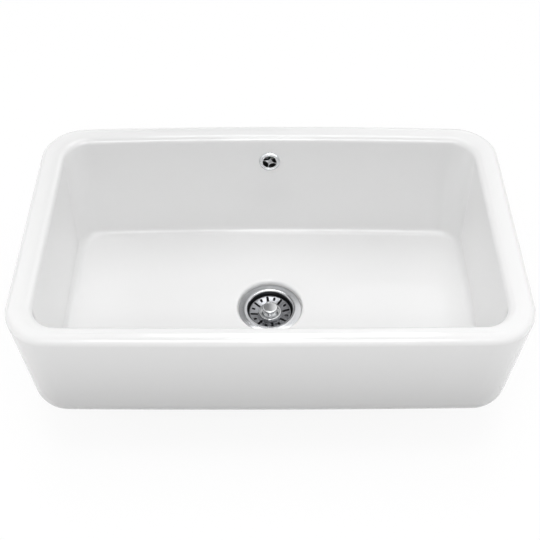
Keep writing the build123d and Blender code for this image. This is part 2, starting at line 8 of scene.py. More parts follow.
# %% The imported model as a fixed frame
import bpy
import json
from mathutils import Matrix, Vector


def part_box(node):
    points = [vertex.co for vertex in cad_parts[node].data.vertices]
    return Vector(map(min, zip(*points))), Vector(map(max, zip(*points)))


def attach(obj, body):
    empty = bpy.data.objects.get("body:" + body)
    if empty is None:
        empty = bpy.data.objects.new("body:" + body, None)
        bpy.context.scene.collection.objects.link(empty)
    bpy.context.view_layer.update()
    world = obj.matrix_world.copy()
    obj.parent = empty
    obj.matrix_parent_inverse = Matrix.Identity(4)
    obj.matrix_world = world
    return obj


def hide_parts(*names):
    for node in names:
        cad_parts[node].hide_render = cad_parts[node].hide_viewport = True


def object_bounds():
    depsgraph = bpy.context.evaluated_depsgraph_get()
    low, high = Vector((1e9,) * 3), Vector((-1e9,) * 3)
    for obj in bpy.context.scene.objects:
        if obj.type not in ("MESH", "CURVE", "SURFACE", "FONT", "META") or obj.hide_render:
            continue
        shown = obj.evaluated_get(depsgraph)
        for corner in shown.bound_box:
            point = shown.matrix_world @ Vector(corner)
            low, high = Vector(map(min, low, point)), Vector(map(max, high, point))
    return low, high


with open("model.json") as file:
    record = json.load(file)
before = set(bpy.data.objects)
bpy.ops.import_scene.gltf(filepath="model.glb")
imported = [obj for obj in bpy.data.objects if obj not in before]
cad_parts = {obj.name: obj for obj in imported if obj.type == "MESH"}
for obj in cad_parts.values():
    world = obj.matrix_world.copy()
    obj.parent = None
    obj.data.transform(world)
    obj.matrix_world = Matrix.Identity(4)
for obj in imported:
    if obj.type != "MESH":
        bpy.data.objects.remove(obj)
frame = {"nodes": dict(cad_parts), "record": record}
cad_low, cad_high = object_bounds()
print("model from", cad_low[:], "to", cad_high[:], "metres,", len(frame["nodes"]), "nodes")

# %% [markdown]
# ## Helpers for colours and shader nodes
# Colours are easiest to judge on a screen, so they are written as sRGB hex values. Cycles works in
# linear light, so one function turns them over. Every shader below is a few nodes, and one function
# adds a node together with its settings and its links, which keeps each finish readable.

# %% Colours and nodes
import json
from math import atan, atan2, cos, degrees, pi, radians, sin, sqrt

import bmesh
import bpy
import numpy as np
from mathutils import Euler, Vector

MM = 0.001                       # every size below is in metres, written as millimetres times MM


def linear(colour):
    """sRGB hex to linear light: c / 12.92 up to 0.04045, and ((c + 0.055) / 1.055) ** 2.4 above it."""
    s = np.array([int(colour[i:i + 2], 16) for i in (0, 2, 4)]) / 255
    return (*np.where(s <= 0.04045, s / 12.92, ((s + 0.055) / 1.055) ** 2.4), 1.0)


def add(tree, kind, values=(), links=(), **settings):
    """One node: settings are its own properties, values its sockets' numbers, links what feeds them."""
    node = tree.nodes.new(kind)
    for name, value in settings.items():
        setattr(node, name, value)
    for socket, value in dict(values).items():
        node.inputs[socket].default_value = value
    for socket, source in dict(links).items():
        tree.links.new(source, node.inputs[socket])
    return node


def finish(name, values):
    """A new material with one Principled BSDF; returns the material, its tree and that shader."""
    material = bpy.data.materials.new(name)
    material.use_nodes = True
    shader = material.node_tree.nodes["Principled BSDF"]
    for socket, value in values.items():
        shader.inputs[socket].default_value = value
    return material, material.node_tree, shader


print("helpers for colours and nodes are ready")

# %% [markdown]
# ## The camera
# The picture looks down into the bowl from the front. Its place was worked out from the rim, the
# bowl and the bottom edge, all at the sink's real size: a metre in front of the bowl's middle, a metre
# and a quarter up, and 49 degrees down. The lens is a short telephoto, so the back edge looks only a
# little shorter than the apron.

# %% Camera at the photograph's viewpoint
CAMERA_AT = (-0.0031, -1.02069, 1.2747)
CAMERA_DOWN = 48.718             # degrees below the horizon
CAMERA_RIGHT = 0.174             # degrees to the right of straight ahead
CAMERA_LENS = 60.406             # millimetres, on a 36 mm sensor

camera = bpy.data.objects.new("camera", bpy.data.cameras.new("camera"))
bpy.context.scene.collection.objects.link(camera)
camera.location = CAMERA_AT
camera.rotation_euler = Euler((radians(90 - CAMERA_DOWN), 0, radians(-CAMERA_RIGHT)))
camera.data.lens = CAMERA_LENS
camera.data.sensor_width = 36
bpy.context.scene.camera = camera
print("camera", CAMERA_DOWN, "degrees down with a", CAMERA_LENS, "mm lens")

# %% [markdown]
# ## From numbers to a mesh
# Every new piece is a grid of points worked out with numpy: rows follow a profile, columns go round
# or along. Four neighbours make a face. A closed direction joins its last line to its first, and
# points that fall together, as at a lathe's axis, are merged, which closes seams and poles.

# %% Grids
def grid(points, wrap_rows=False, wrap_columns=True):
    """Places and four-cornered faces of points[row, column]; a wrapped side closes on itself."""
    rows, columns = points.shape[:2]
    index = np.arange(rows * columns).reshape(rows, columns)
    index = np.vstack([index, index[:1]]) if wrap_rows else index
    index = np.hstack([index, index[:, :1]]) if wrap_columns else index
    faces = np.stack([index[:-1, :-1], index[:-1, 1:], index[1:, 1:], index[1:, :-1]], -1)
    return points.reshape(-1, 3), faces.reshape(-1, 4)


def join(*grids):
    """Several grids as one: each grid's faces count on from the places before it."""
    starts = np.cumsum([0] + [len(places) for places, faces in grids[:-1]])
    places = np.vstack([places for places, faces in grids])
    faces = np.vstack([faces + start for (_, faces), start in zip(grids, starts)])
    return places, faces


print("helpers for grids are ready")

# %% Welding
WELD, SLIVER = 0.002 * MM, 0.001 * MM


def heal(mesh, closed=True):
    """Merge points closer than WELD, drop edges and faces shorter than SLIVER, turn normals outwards."""
    work = bmesh.new()
    work.from_mesh(mesh)
    bmesh.ops.remove_doubles(work, verts=work.verts, dist=WELD)
    bmesh.ops.dissolve_degenerate(work, edges=work.edges, dist=SLIVER)
    if closed:
        bmesh.ops.recalc_face_normals(work, faces=work.faces)
    work.to_mesh(mesh)
    work.free()


def mesh_object(name, places, faces, closed=True):
    """An object from places and faces, with doubles merged; a closed one gets outward normals."""
    mesh = bpy.data.meshes.new(name)
    mesh.from_pydata(places, [], faces)
    heal(mesh, closed)
    thing = bpy.data.objects.new(name, mesh)
    bpy.context.scene.collection.objects.link(thing)
    return thing


print("points closer than", round(WELD / MM, 4), "mm are welded")


# %% Modifiers, cuts and the finished piece
def bake(thing):
    """Replace a piece's mesh by what its modifiers make of it, and drop the modifiers."""
    graph = bpy.context.evaluated_depsgraph_get()
    thing.data = bpy.data.meshes.new_from_object(thing.evaluated_get(graph))
    thing.modifiers.clear()


def combine(thing, operation, other):
    """Join another closed object to a piece (UNION) or cut it out (DIFFERENCE), and delete it."""
    change = thing.modifiers.new("combine", "BOOLEAN")
    change.operation = operation
    change.solver = "MANIFOLD"
    change.object = other
    bake(thing)
    heal(thing.data)
    bpy.data.objects.remove(other)


def settle(thing, material, body, *nodes, slot=None, sharp=32):
    """Shade smoothly with crisp edges past an angle, give the finish, and tie the piece to its body."""
    thing.data.polygons.foreach_set("use_smooth", np.ones(len(thing.data.polygons), bool))
    thing.data.set_sharp_from_angle(angle=radians(sharp))
    thing.data.materials.clear()
    thing.data.materials.append(material)
    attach(thing, body)
    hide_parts(*nodes)
    print(thing.name, "has", len(thing.data.polygons), "faces and stands for", ", ".join(nodes))
    return thing


print("helpers for meshes are ready")

# %% [markdown]
# ## The fireclay body: its level outlines
# Seen from above, body and bowl are both rounded rectangles whose front and back edges bow outwards
# a little. A bevelled box would give even corners but no bow. So the outline is made of eight runs,
# each with a fixed number of points: then a point on one outline has its partner on every other one,
# and the whole body can be a single grid.

# %% Width, depth and bows
WIDTH = 795 * MM
DEPTH = 475 * MM
BACK_BOW = 9.5 * MM              # how far the back edge swells past its corners
FRONT_BOW = 3.1 * MM
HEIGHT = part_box("sink_bowl")[1].z
BOW_POINTS, CORNER_POINTS, SIDE_POINTS = 112, 44, 52


def bow_radius(bow):
    """Radius of an arc over the body's whole width that rises by bow."""
    return ((WIDTH / 2) ** 2 + bow ** 2) / (2 * bow)


BACK_RADIUS = bow_radius(BACK_BOW)
FRONT_RADIUS = bow_radius(FRONT_BOW)
print("bows of", round(BACK_RADIUS, 2), "and", round(FRONT_RADIUS, 2), "metres radius")


# %% One outline from eight runs
def arc(x, y, radius, start, end, count):
    """Points and outward normals round a centre, from one angle to just short of another."""
    angle = start + (end - start) * np.arange(count) / count
    normal = np.stack([np.cos(angle), np.sin(angle)], -1)
    return np.array([x, y]) + radius * normal, normal


def side(x, start_y, end_y):
    """Points and outward normals along a straight side, to just short of its end."""
    y = start_y + (end_y - start_y) * np.arange(SIDE_POINTS) / SIDE_POINTS
    facing = np.stack([np.full(SIDE_POINTS, np.sign(x)), np.zeros(SIDE_POINTS)], -1)
    return np.stack([np.full(SIDE_POINTS, x), y], -1), facing


def outline(half_width, back_y, front_y, corner):
    """Anticlockwise from the right side. Each corner's arc touches its side and its bowed edge, so its
    centre is corner from the side and (bow radius - corner) from the bow's centre."""
    across = half_width - corner
    back = back_y - BACK_RADIUS
    front = front_y + FRONT_RADIUS
    back_corner = back + sqrt((BACK_RADIUS - corner) ** 2 - across ** 2)
    front_corner = front - sqrt((FRONT_RADIUS - corner) ** 2 - across ** 2)
    back_turn = atan2(back_corner - back, across)
    front_turn = atan2(front - front_corner, across)
    runs = (
        side(half_width, front_corner, back_corner),
        arc(across, back_corner, corner, 0, back_turn, CORNER_POINTS),
        arc(0, back, BACK_RADIUS, back_turn, pi - back_turn, BOW_POINTS),
        arc(-across, back_corner, corner, pi - back_turn, pi, CORNER_POINTS),
        side(-half_width, back_corner, front_corner),
        arc(-across, front_corner, corner, pi, pi + front_turn, CORNER_POINTS),
        arc(0, front, FRONT_RADIUS, pi + front_turn, 2 * pi - front_turn, BOW_POINTS),
        arc(across, front_corner, corner, 2 * pi - front_turn, 2 * pi, CORNER_POINTS),
    )
    points, normals = zip(*runs)
    return np.concatenate(points), np.concatenate(normals)


print("helpers for level outlines are ready")

# %% Outlines of rim, base, mouth and floor
BODY_CORNER = 72 * MM
BODY_TAPER = 14 * MM             # lean of the outer faces from rim to underside
SIDE_WALL, BACK_WALL, FRONT_WALL = 40.7 * MM, 38.5 * MM, 32 * MM
SIDE_DRAFT, BACK_DRAFT, FRONT_DRAFT = 1.5 * MM, 35 * MM, 6 * MM
BOWL_CORNER = 43 * MM
BOWL_DEPTH = 200 * MM
FLOOR_Z = HEIGHT - BOWL_DEPTH
BACK_Y = DEPTH / 2 + BACK_BOW
FRONT_Y = -(DEPTH / 2 + FRONT_BOW)
BOWL_BACK_Y = BACK_Y - BACK_WALL
BOWL_FRONT_Y = FRONT_Y + FRONT_WALL
BOWL_HALF = WIDTH / 2 - SIDE_WALL

rim_outline = outline(WIDTH / 2, BACK_Y, FRONT_Y, BODY_CORNER)
base_outline = outline(
    WIDTH / 2 - BODY_TAPER, BACK_Y - BODY_TAPER, FRONT_Y + BODY_TAPER, BODY_CORNER - BODY_TAPER
)
mouth_outline = outline(BOWL_HALF, BOWL_BACK_Y, BOWL_FRONT_Y, BOWL_CORNER)
floor_outline = outline(
    BOWL_HALF - SIDE_DRAFT, BOWL_BACK_Y - BACK_DRAFT, BOWL_FRONT_Y + FRONT_DRAFT, BOWL_CORNER
)
print("each outline has", len(rim_outline[0]), "points")

# %% [markdown]
# ## The fireclay body: walls, rolled rim and rounds
# A wall is a straight line from a point of its upper outline to the partner on its lower one. Where a
# wall meets the underside or the floor, a true arc touches both, and its size depends on how far the
# wall leans at that point: the bowl's back wall leans ten degrees and its sides hardly at all. The
# rim is a soft quarter of a superellipse, because thick glaze flows over it and leaves no hard start
# or end to the curve. A bevel modifier would give the same radius everywhere and a visible seam.

# %% Straight walls and rounds
def rows_at(outline_points, height):
    """Plan points and heights as one row of places; height is one number or one for each point."""
    z = np.broadcast_to(height, outline_points.shape[:-1])
    return np.concatenate([outline_points, z[..., None]], -1)


def lean_of(upper, lower, drop):
    """Tangent of the wall's lean at each point: how far it moves along its normal, over its drop."""
    return ((upper[0] - lower[0]) * lower[1]).sum(-1) / drop


def wall(upper, lower, z_upper, z_lower, from_share, to_share, count):
    """Straight lines between two outlines: upper * share + lower * (1 - share), from one share to
    another; a share may differ from point to point."""
    t = np.linspace(0, 1, count)[:, None]
    share = (1 - t) * from_share + t * to_share
    plan = lower[0] + share[..., None] * (upper[0] - lower[0])
    return rows_at(plan, z_lower + share * (z_upper - z_lower))


def round_below(lower, z_lower, tangent, radius, count):
    """An arc of the radius that touches a wall, leaning by that tangent, and the level below it. Its
    centre is radius above the level and radius * (1 - sin) / cos in from the wall's foot."""
    lean = np.arctan(tangent)
    angle = np.linspace(lean, np.full_like(lean, pi / 2), count)
    inset = radius * ((1 - np.sin(lean)) / np.cos(lean) - np.cos(angle))
    plan = lower[0] - inset[..., None] * lower[1]
    return rows_at(plan, z_lower + radius * (1 - np.sin(angle)))


def foot_share(tangent, radius, drop):
    """Share of the wall's height at which the round below it starts."""
    return radius * (1 - np.sin(np.arctan(tangent))) / drop


print("helpers for walls and rounds are ready")

# %% Rolled rims
RIM_SOFTNESS = 2.25              # 2 is a plain ellipse, more is squarer with softer ends
RIM_CROWN = 0.4 * MM             # the rim's top is this much higher in its middle


def rolled_rim(upper, tangent, across, down, into, count):
    """A quarter superellipse from the wall to the rim's top: in from the edge by across * (1 - cos^k)
    and down by down * (1 - sin^k), sheared so that it starts along the leaning wall."""
    angle = np.linspace(0, pi / 2, count)[:, None]
    power = 2 / RIM_SOFTNESS
    inset = across * (1 - np.cos(angle) ** power)
    depth = down * (1 - np.sin(angle) ** power)
    shift = into * inset - tangent * depth
    plan = upper[0] + shift[..., None] * upper[1]
    return rows_at(plan, HEIGHT - RIM_CROWN - depth)


print("the rim's top rises", round(RIM_CROWN / MM, 1), "mm towards its middle")

# %% Rows of the body's and the bowl's walls
RIM_OUT_ACROSS, RIM_OUT_DOWN = 16 * MM, 12.5 * MM
RIM_IN_ACROSS, RIM_IN_DOWN = 13 * MM, 12 * MM
BASE_ROUND = 47 * MM
FLOOR_ROUND = 14 * MM
FOOT_GAP, RIM_GAP, MOUTH_GAP = 0.01, 0.008, 0.01  # shares of a wall left free next to its rounds

body_lean = lean_of(rim_outline, base_outline, HEIGHT)
bowl_lean = lean_of(mouth_outline, floor_outline, BOWL_DEPTH)
base_foot = foot_share(body_lean, BASE_ROUND, HEIGHT)
floor_foot = foot_share(bowl_lean, FLOOR_ROUND, BOWL_DEPTH)
body_round = round_below(base_outline, 0, body_lean, BASE_ROUND, 20)
body_top = 1 - RIM_OUT_DOWN / HEIGHT - RIM_GAP
body_wall = wall(rim_outline, base_outline, HEIGHT, 0, base_foot + FOOT_GAP, body_top, 10)
rim_out = rolled_rim(rim_outline, body_lean, RIM_OUT_ACROSS, RIM_OUT_DOWN, -1, 15)
rim_in = rolled_rim(mouth_outline, bowl_lean, RIM_IN_ACROSS, RIM_IN_DOWN, 1, 15)
bowl_top = 1 - RIM_IN_DOWN / BOWL_DEPTH - MOUTH_GAP
bowl_wall = wall(mouth_outline, floor_outline, HEIGHT, FLOOR_Z, bowl_top, floor_foot + FOOT_GAP, 14)
bowl_round = round_below(floor_outline, FLOOR_Z, bowl_lean, FLOOR_ROUND, 16)
print("back wall leans", round(degrees(atan(bowl_lean.max())), 2), "degrees")

# %% [markdown]
# ## The fireclay body: floor and drain
# The floor falls gently to the drain, whose flange sits in a round recess with a soft glazed lip.
# Rows of the grid change from the bowl's outline to circles about the drain by a straight blend of
# each point with its partner in the same direction, so no extra mesh has to be stitched in. The last
# circles go down through the hole, out into the pocket under the base and back along the underside.

# %% Blends and rounded outlines
def blend(start, end, count):
    """Rows between two rows of places, both left out: start * (1 - t) + end * t."""
    t = np.linspace(0, 1, count + 2)[1:-1, None, None]
    return start * (1 - t) + end * t


ARC_STEPS = 7


def fillet(*corners, steps=ARC_STEPS):
    """An outline through (radius, height, rounding) corners, with an arc in each that touches both its
    sides: tangent length = rounding / tan(half angle), centre = corner + bisector * rounding / sin."""
    data = np.array([corner if len(corner) == 3 else (*corner, 0.0) for corner in corners])
    corner, rounding = data[:, :2], data[:, 2:]
    before = np.roll(corner, 1, 0) - corner
    after = np.roll(corner, -1, 0) - corner
    before /= np.linalg.norm(before, axis=1, keepdims=True)
    after /= np.linalg.norm(after, axis=1, keepdims=True)
    half = np.arccos(np.clip((before * after).sum(1, keepdims=True), -1, 1)) / 2
    tangent = rounding / np.tan(half)
    middle = before + after
    middle /= np.linalg.norm(middle, axis=1, keepdims=True)
    centre = corner + middle * rounding / np.sin(half)
    first = corner + before * tangent - centre
    last = corner + after * tangent - centre
    sweep = (pi - 2 * half)[:, None]
    t = np.linspace(0, 1, steps)[None, :, None]
    curve = np.sin((1 - t) * sweep) * first[:, None] + np.sin(t * sweep) * last[:, None]
    return (centre[:, None] + curve / np.sin(sweep)).reshape(-1, 2)


print("an outline's corner is an arc of", ARC_STEPS, "points")

# %% Floor, drain and underside
FALL_RADIUS = 140 * MM
FALL = 2 * MM
FALL_BEND = 1.6                  # 1 is a straight cone, more starts the fall more gently
SEAT_R = 57.5 * MM
LIP_ACROSS, LIP_DOWN = 5.5 * MM, 4.5 * MM
SEAT_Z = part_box("flange_seal")[0].z
DRAIN_HOLE_R = 45 * MM
POCKET_R = 63 * MM
POCKET_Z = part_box("base_seal")[1].z
drain_low, drain_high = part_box("strainer_body")
DRAIN = np.array([(drain_low.x + drain_high.x) / 2, (drain_low.y + drain_high.y) / 2])

t = np.linspace(0, 1, 22)
fall_r = FALL_RADIUS + (SEAT_R + LIP_ACROSS - FALL_RADIUS) * t
fall = np.stack([fall_r, FLOOR_Z - FALL * t ** FALL_BEND], -1)
turn = np.linspace(0, pi / 2, 10)[1:]
lip = np.stack([
    SEAT_R + LIP_ACROSS * (1 - np.sin(turn)), FLOOR_Z - FALL - LIP_DOWN * (1 - np.cos(turn))
], -1)
bore = np.array([
    (SEAT_R, SEAT_Z), (DRAIN_HOLE_R, SEAT_Z), (DRAIN_HOLE_R, POCKET_Z), (POCKET_R, POCKET_Z), (POCKET_R, 0),
])
profile = np.concatenate([fall, lip, bore])
towards = bowl_round[-1, :, :2] - DRAIN
towards /= np.linalg.norm(towards, axis=1, keepdims=True)
circles = rows_at(DRAIN + profile[:, :1, None] * towards, profile[:, 1:])

floor = blend(bowl_round[-1], circles[0], 9)
underside = blend(circles[-1], body_round[-1], 7)
rim_top = blend(rim_out[-1], rim_in[-1], 5)
crown = np.linspace(0, 1, 7)[1:-1]
rim_top[..., 2] += (RIM_CROWN * 4 * crown * (1 - crown))[:, None]

body_rows = np.concatenate([
    body_round[::-1], body_wall, rim_out, rim_top, rim_in[::-1],
    bowl_wall, bowl_round, floor, circles, underside,
])
glazed_bowl = mesh_object("glazed_bowl", *grid(body_rows, wrap_rows=True))
print("the body is one grid of", body_rows.shape[0], "rows by", body_rows.shape[1], "columns")

# %% [markdown]
# ## Turned shapes, and the hole for the overflow
# Most fittings are turned, spun or pressed round, so one function carries a profile round an axis.
# The overflow hole is square to the leaning back wall: it has a shallow flat land for its cover, and
# a ground spot face behind it. Cutting a turned shape out of the finished body is the simplest way to
# get crisp edges there, and it works well because the body is a clean closed mesh.

# %% Lathe
def lathe(profile, columns=128):
    """A profile of (radius, height) points carried round Z: (r cos a, r sin a, z)."""
    angle = np.arange(columns) * 2 * pi / columns
    ring = np.stack([np.cos(angle), np.sin(angle)], -1)
    return rows_at(profile[:, :1, None] * ring, profile[:, 1:])


def stand(points, origin, axis=(0, 0, 1)):
    """Points of a local frame put in place: local Z along the axis, local X along the sink's width."""
    z = np.array(axis, float)
    x = np.array([1.0, 0, 0])
    y = np.cross(z, x)
    return np.array(origin) + points @ np.stack([x, y, z])


def placed(name, *shells, at, axis=(0, 0, 1)):
    """One object of closed shells, each given as the rows of a grid, stood in place along an axis."""
    places, faces = join(*[grid(shell, wrap_rows=True) for shell in shells])
    return mesh_object(name, stand(places, at, axis), faces)


print("helpers for turned shapes are ready")

# %% Overflow hole
OVERFLOW_DROP = 48 * MM          # rim to the middle of the hole, on the back wall
OVERFLOW_HOLE_R = 14 * MM
COVER_R = 18.4 * MM
COVER_LAND, COVER_PLAY = 0.3 * MM, 0.3 * MM
SPOT_R = 26 * MM
REAR_R = 24 * MM                 # the elbow's flange and its seal, on the spot face
CUT_AHEAD, CUT_BEHIND = 8 * MM, 20 * MM
OVERFLOW_AT = (0, BOWL_BACK_Y - BACK_DRAFT * OVERFLOW_DROP / BOWL_DEPTH, HEIGHT - OVERFLOW_DROP)
BACK_LEAN = atan(BACK_DRAFT / BOWL_DEPTH)
OVERFLOW_AXIS = (0, -cos(BACK_LEAN), sin(BACK_LEAN))
seal_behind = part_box("overflow_rear_seal")[0].y - OVERFLOW_AT[1]
SPOT_AT = (seal_behind + REAR_R * sin(BACK_LEAN)) / cos(BACK_LEAN)

hole_profile = np.array([
    (0, CUT_AHEAD), (COVER_R + COVER_PLAY, CUT_AHEAD), (COVER_R + COVER_PLAY, -COVER_LAND),
    (OVERFLOW_HOLE_R, -COVER_LAND), (OVERFLOW_HOLE_R, -SPOT_AT), (SPOT_R, -SPOT_AT),
    (SPOT_R, -SPOT_AT - CUT_BEHIND), (0, -SPOT_AT - CUT_BEHIND),
])
overflow_hole = placed("overflow_hole", lathe(hole_profile, 96), at=OVERFLOW_AT, axis=OVERFLOW_AXIS)
combine(glazed_bowl, "DIFFERENCE", overflow_hole)
print("overflow at", OVERFLOW_AT, "spot face", round(SPOT_AT / MM, 2), "mm behind the bowl's wall")

# %% [markdown]
# ## Glazed fireclay
# Fireclay is fired clay under an opaque white glaze, which is a thin layer of glass: index about 1.5,
# very smooth, and never quite flat, because it flows while it melts. So the shader is a near-white
# body with glassy reflections and a faint bump some centimetres wide, which bends reflections softly.
# Under the base the clay is wiped clean before firing, so it shows a dry buff biscuit there, up to a
# slightly uneven glaze line.

# %% Finish of the body
WAVE, LINE_BEND = 70 * MM, 20 * MM  # widths of the waves in the glaze and of the bends in its lower edge
glazed_fireclay, tree, shader = finish("glazed_fireclay", {"IOR": 1.5})
place = add(tree, "ShaderNodeTexCoord").outputs["Object"]
drift = add(tree, "ShaderNodeTexNoise", {"Scale": 1 / WAVE, "Detail": 1.0}, {"Vector": place})
edge = add(tree, "ShaderNodeTexNoise", {"Scale": 1 / LINE_BEND, "Detail": 2.0}, {"Vector": place})
height = add(tree, "ShaderNodeSeparateXYZ", links={0: place}).outputs["Z"]
line = add(
    tree, "ShaderNodeMath", {1: 2.5 * MM}, {0: edge.outputs[0], 2: height}, operation="MULTIPLY_ADD"
)
glazed = add(
    tree, "ShaderNodeMapRange", {"From Min": 2.2 * MM, "From Max": 2.8 * MM}, {"Value": line.outputs[0]}
).outputs[0]
colour = add(tree, "ShaderNodeMix", {6: linear("CFC4B0"), 7: linear("EAEAEA")}, {0: glazed}, data_type="RGBA")
rough = add(tree, "ShaderNodeMapRange", {"To Min": 0.75, "To Max": 0.06}, {"Value": glazed})
bump = add(
    tree, "ShaderNodeBump", {"Strength": 1.0, "Distance": 0.05 * MM}, {"Height": drift.outputs[0]}
)
tree.links.new(colour.outputs[2], shader.inputs["Base Color"])
tree.links.new(rough.outputs[0], shader.inputs["Roughness"])
tree.links.new(bump.outputs[0], shader.inputs["Normal"])
settle(glazed_bowl, glazed_fireclay, "sink", "sink_bowl", slot="fireclay")

# %% [markdown]
# ## Pressed and turned stainless steel
# The strainer is pressed from sheet and then polished on a spinning mop, so it keeps very fine rings
# about its axis. They are too fine to see one by one, so the noise below is drawn about half a
# millimetre apart, as a small change of roughness and height with the distance from the axis. The
# mop polishes the flange best. The basket's dish stays satin, and its darker grey is painted shade, as
# it lies low in the well. The well's upper wall is rougher, as the drawing press leaves it, and its
# paler colour is painted light; its deep parts are coloured dark grey, which is painted shade. The
# knob, hub and screw are turned from bar and polished brighter.

# %% Stainless finishes
def ringed_metal(name, colour, roughness, spread, spacing, depth):
    """Polished metal whose roughness and height vary mostly with the distance from the drain's axis."""
    material, tree, shader = finish(name, {"Base Color": linear(colour), "Metallic": 1.0})
    place = add(tree, "ShaderNodeTexCoord").outputs["Object"]
    centred = add(
        tree, "ShaderNodeMapping", {"Location": (-DRAIN[0], -DRAIN[1], 0), "Scale": (1, 1, 0.02)}, {0: place}
    )
    radius = add(tree, "ShaderNodeVectorMath", links={0: centred.outputs[0]}, operation="LENGTH")
    rings = add(
        tree, "ShaderNodeTexNoise", {"Scale": 1 / spacing, "Detail": 2.0},
        {"W": radius.outputs["Value"]}, noise_dimensions="1D",
    )
    haze = add(tree, "ShaderNodeTexNoise", {"Scale": 1 / (12 * MM), "Detail": 3.0}, {"Vector": place})
    mixed = add(tree, "ShaderNodeMath", links={0: rings.outputs[0], 1: haze.outputs[0]}, operation="MULTIPLY")
    rough = add(
        tree, "ShaderNodeMapRange",
        {"From Min": 0.1, "From Max": 0.45, "To Min": roughness, "To Max": roughness + spread},
        {"Value": mixed.outputs[0]},
    )
    bump = add(
        tree, "ShaderNodeBump", {"Strength": 1.0, "Distance": depth}, {"Height": rings.outputs[0]}
    )
    tree.links.new(rough.outputs[0], shader.inputs["Roughness"])
    tree.links.new(bump.outputs[0], shader.inputs["Normal"])
    return material


PRESSED, TURNED = 0.5 * MM, 0.4 * MM  # spacing of the rings, drawn coarse enough to show
pressed_stainless = ringed_metal(
    "pressed_stainless_mop_polished", "B8B9BB", 0.12, 0.16, PRESSED, 0.002 * MM
)
turned_stainless = ringed_metal("turned_stainless_bright", "CFD0D1", 0.06, 0.1, TURNED, 0.001 * MM)
# the dish's satin roughness is real, and its darker grey colour is painted shade, as the dish lies low in the
# well
satin_shaded_stainless = ringed_metal("pressed_stainless_satin_painted_shade", "808184", 0.16, 0.14, PRESSED, 0.003 * MM)
# a rougher, paler finish for the well's upper wall, whose paler colour is painted light, and a dark grey one
# for its deep parts, which is painted shade
drawn_lightened_stainless = ringed_metal("pressed_stainless_drawn_painted_light", "D2D3D4", 0.42, 0.1, PRESSED, 0.003 * MM)
painted_shade_stainless = ringed_metal("pressed_stainless_painted_shade", "4C4D4F", 0.3, 0.14, PRESSED, 0.004 * MM)
print("stainless finishes centred on the drain at", DRAIN)

# %% [markdown]
# ## The strainer's cup
# This is one pressing: a flat flange that seals on the fireclay, a raised bright ring round the well,
# a deep well with a soft inner corner, and a throat whose bottom plate takes the screw. Its profile
# is an outline with arcs in its corners, carried round; the six holes in the bottom plate are cut.
# Inside the well, the finish follows the depth below the flange, face by face: the paler colour of the
# upper wall is painted light, and the dark grey deep down is painted shade.

# %% Outline of the cup
FLANGE_R = (drain_high.x - drain_low.x) / 2
FLANGE_T = 2 * MM
FLANGE_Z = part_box("flange_seal")[1].z + FLANGE_T
SHEET = 1.2 * MM
WELL_R = 40 * MM
WELL_FLOOR_Z = FLANGE_Z - 32 * MM
THROAT_R = 23 * MM
THROAT_Z = drain_low.z + SHEET
SCREW_R = 4.05 * MM
RING_FOOT_R, RING_R, RING_RISE = 45.6 * MM, 44.6 * MM, 0.6 * MM  # raised ring: foot, top, height
WELL_MOUTH_R = 41.4 * MM

cup_outline = fillet(
    (FLANGE_R, FLANGE_Z - FLANGE_T, 0.5 * MM),
    (FLANGE_R, FLANGE_Z - FLANGE_T / 2, 0.7 * MM),
    (RING_FOOT_R, FLANGE_Z, 0.6 * MM),
    (RING_R, FLANGE_Z + RING_RISE, 0.6 * MM),
    (WELL_MOUTH_R, FLANGE_Z + 0.1 * MM, 1.2 * MM),
    (WELL_R, FLANGE_Z - FLANGE_T, 1.6 * MM),
    (WELL_R, WELL_FLOOR_Z, 4.0 * MM),
    (THROAT_R, WELL_FLOOR_Z, 1.2 * MM),
    (THROAT_R, THROAT_Z, 0.8 * MM),
    (SCREW_R, THROAT_Z),
    (SCREW_R, THROAT_Z - SHEET),
    (THROAT_R + SHEET, THROAT_Z - SHEET, 2.0 * MM),
    (THROAT_R + SHEET, WELL_FLOOR_Z - SHEET, 0.3 * MM),
    (WELL_R + SHEET, WELL_FLOOR_Z - SHEET, 4.0 * MM + SHEET),
    (WELL_R + SHEET, FLANGE_Z - FLANGE_T, 0.4 * MM),
)
print("cup", round((FLANGE_Z - THROAT_Z) / MM, 1), "mm deep inside")


# %% Turned pieces with more than one finish
NEAR = 0.2 * MM                  # a face this close to an edge counts as on it


def drain_piece(name, profile, columns=128):
    """A closed profile turned about the drain's axis."""
    return placed(name, lathe(profile, columns), at=(*DRAIN, 0))


def face_middles(thing):
    """The middle of every face of a piece, as rows of x, y and z."""
    middles = np.empty(3 * len(thing.data.polygons), np.float32)
    thing.data.polygons.foreach_get("center", middles)
    return middles.reshape(-1, 3).astype(float)


def change_finish(thing, parts, *materials):
    """Faces of part 0 keep the piece's finish, and those of part 1, 2 and so on take the ones given."""
    for material in materials:
        thing.data.materials.append(material)
    thing.data.polygons.foreach_set("material_index", parts.astype(np.int32))


print("faces within", round(NEAR / MM, 1), "mm of an edge count as on it")

# %% Strainer cup
THROAT_HOLES = 6
THROAT_HOLE_R, THROAT_HOLES_AT = 4.5 * MM, 16.5 * MM
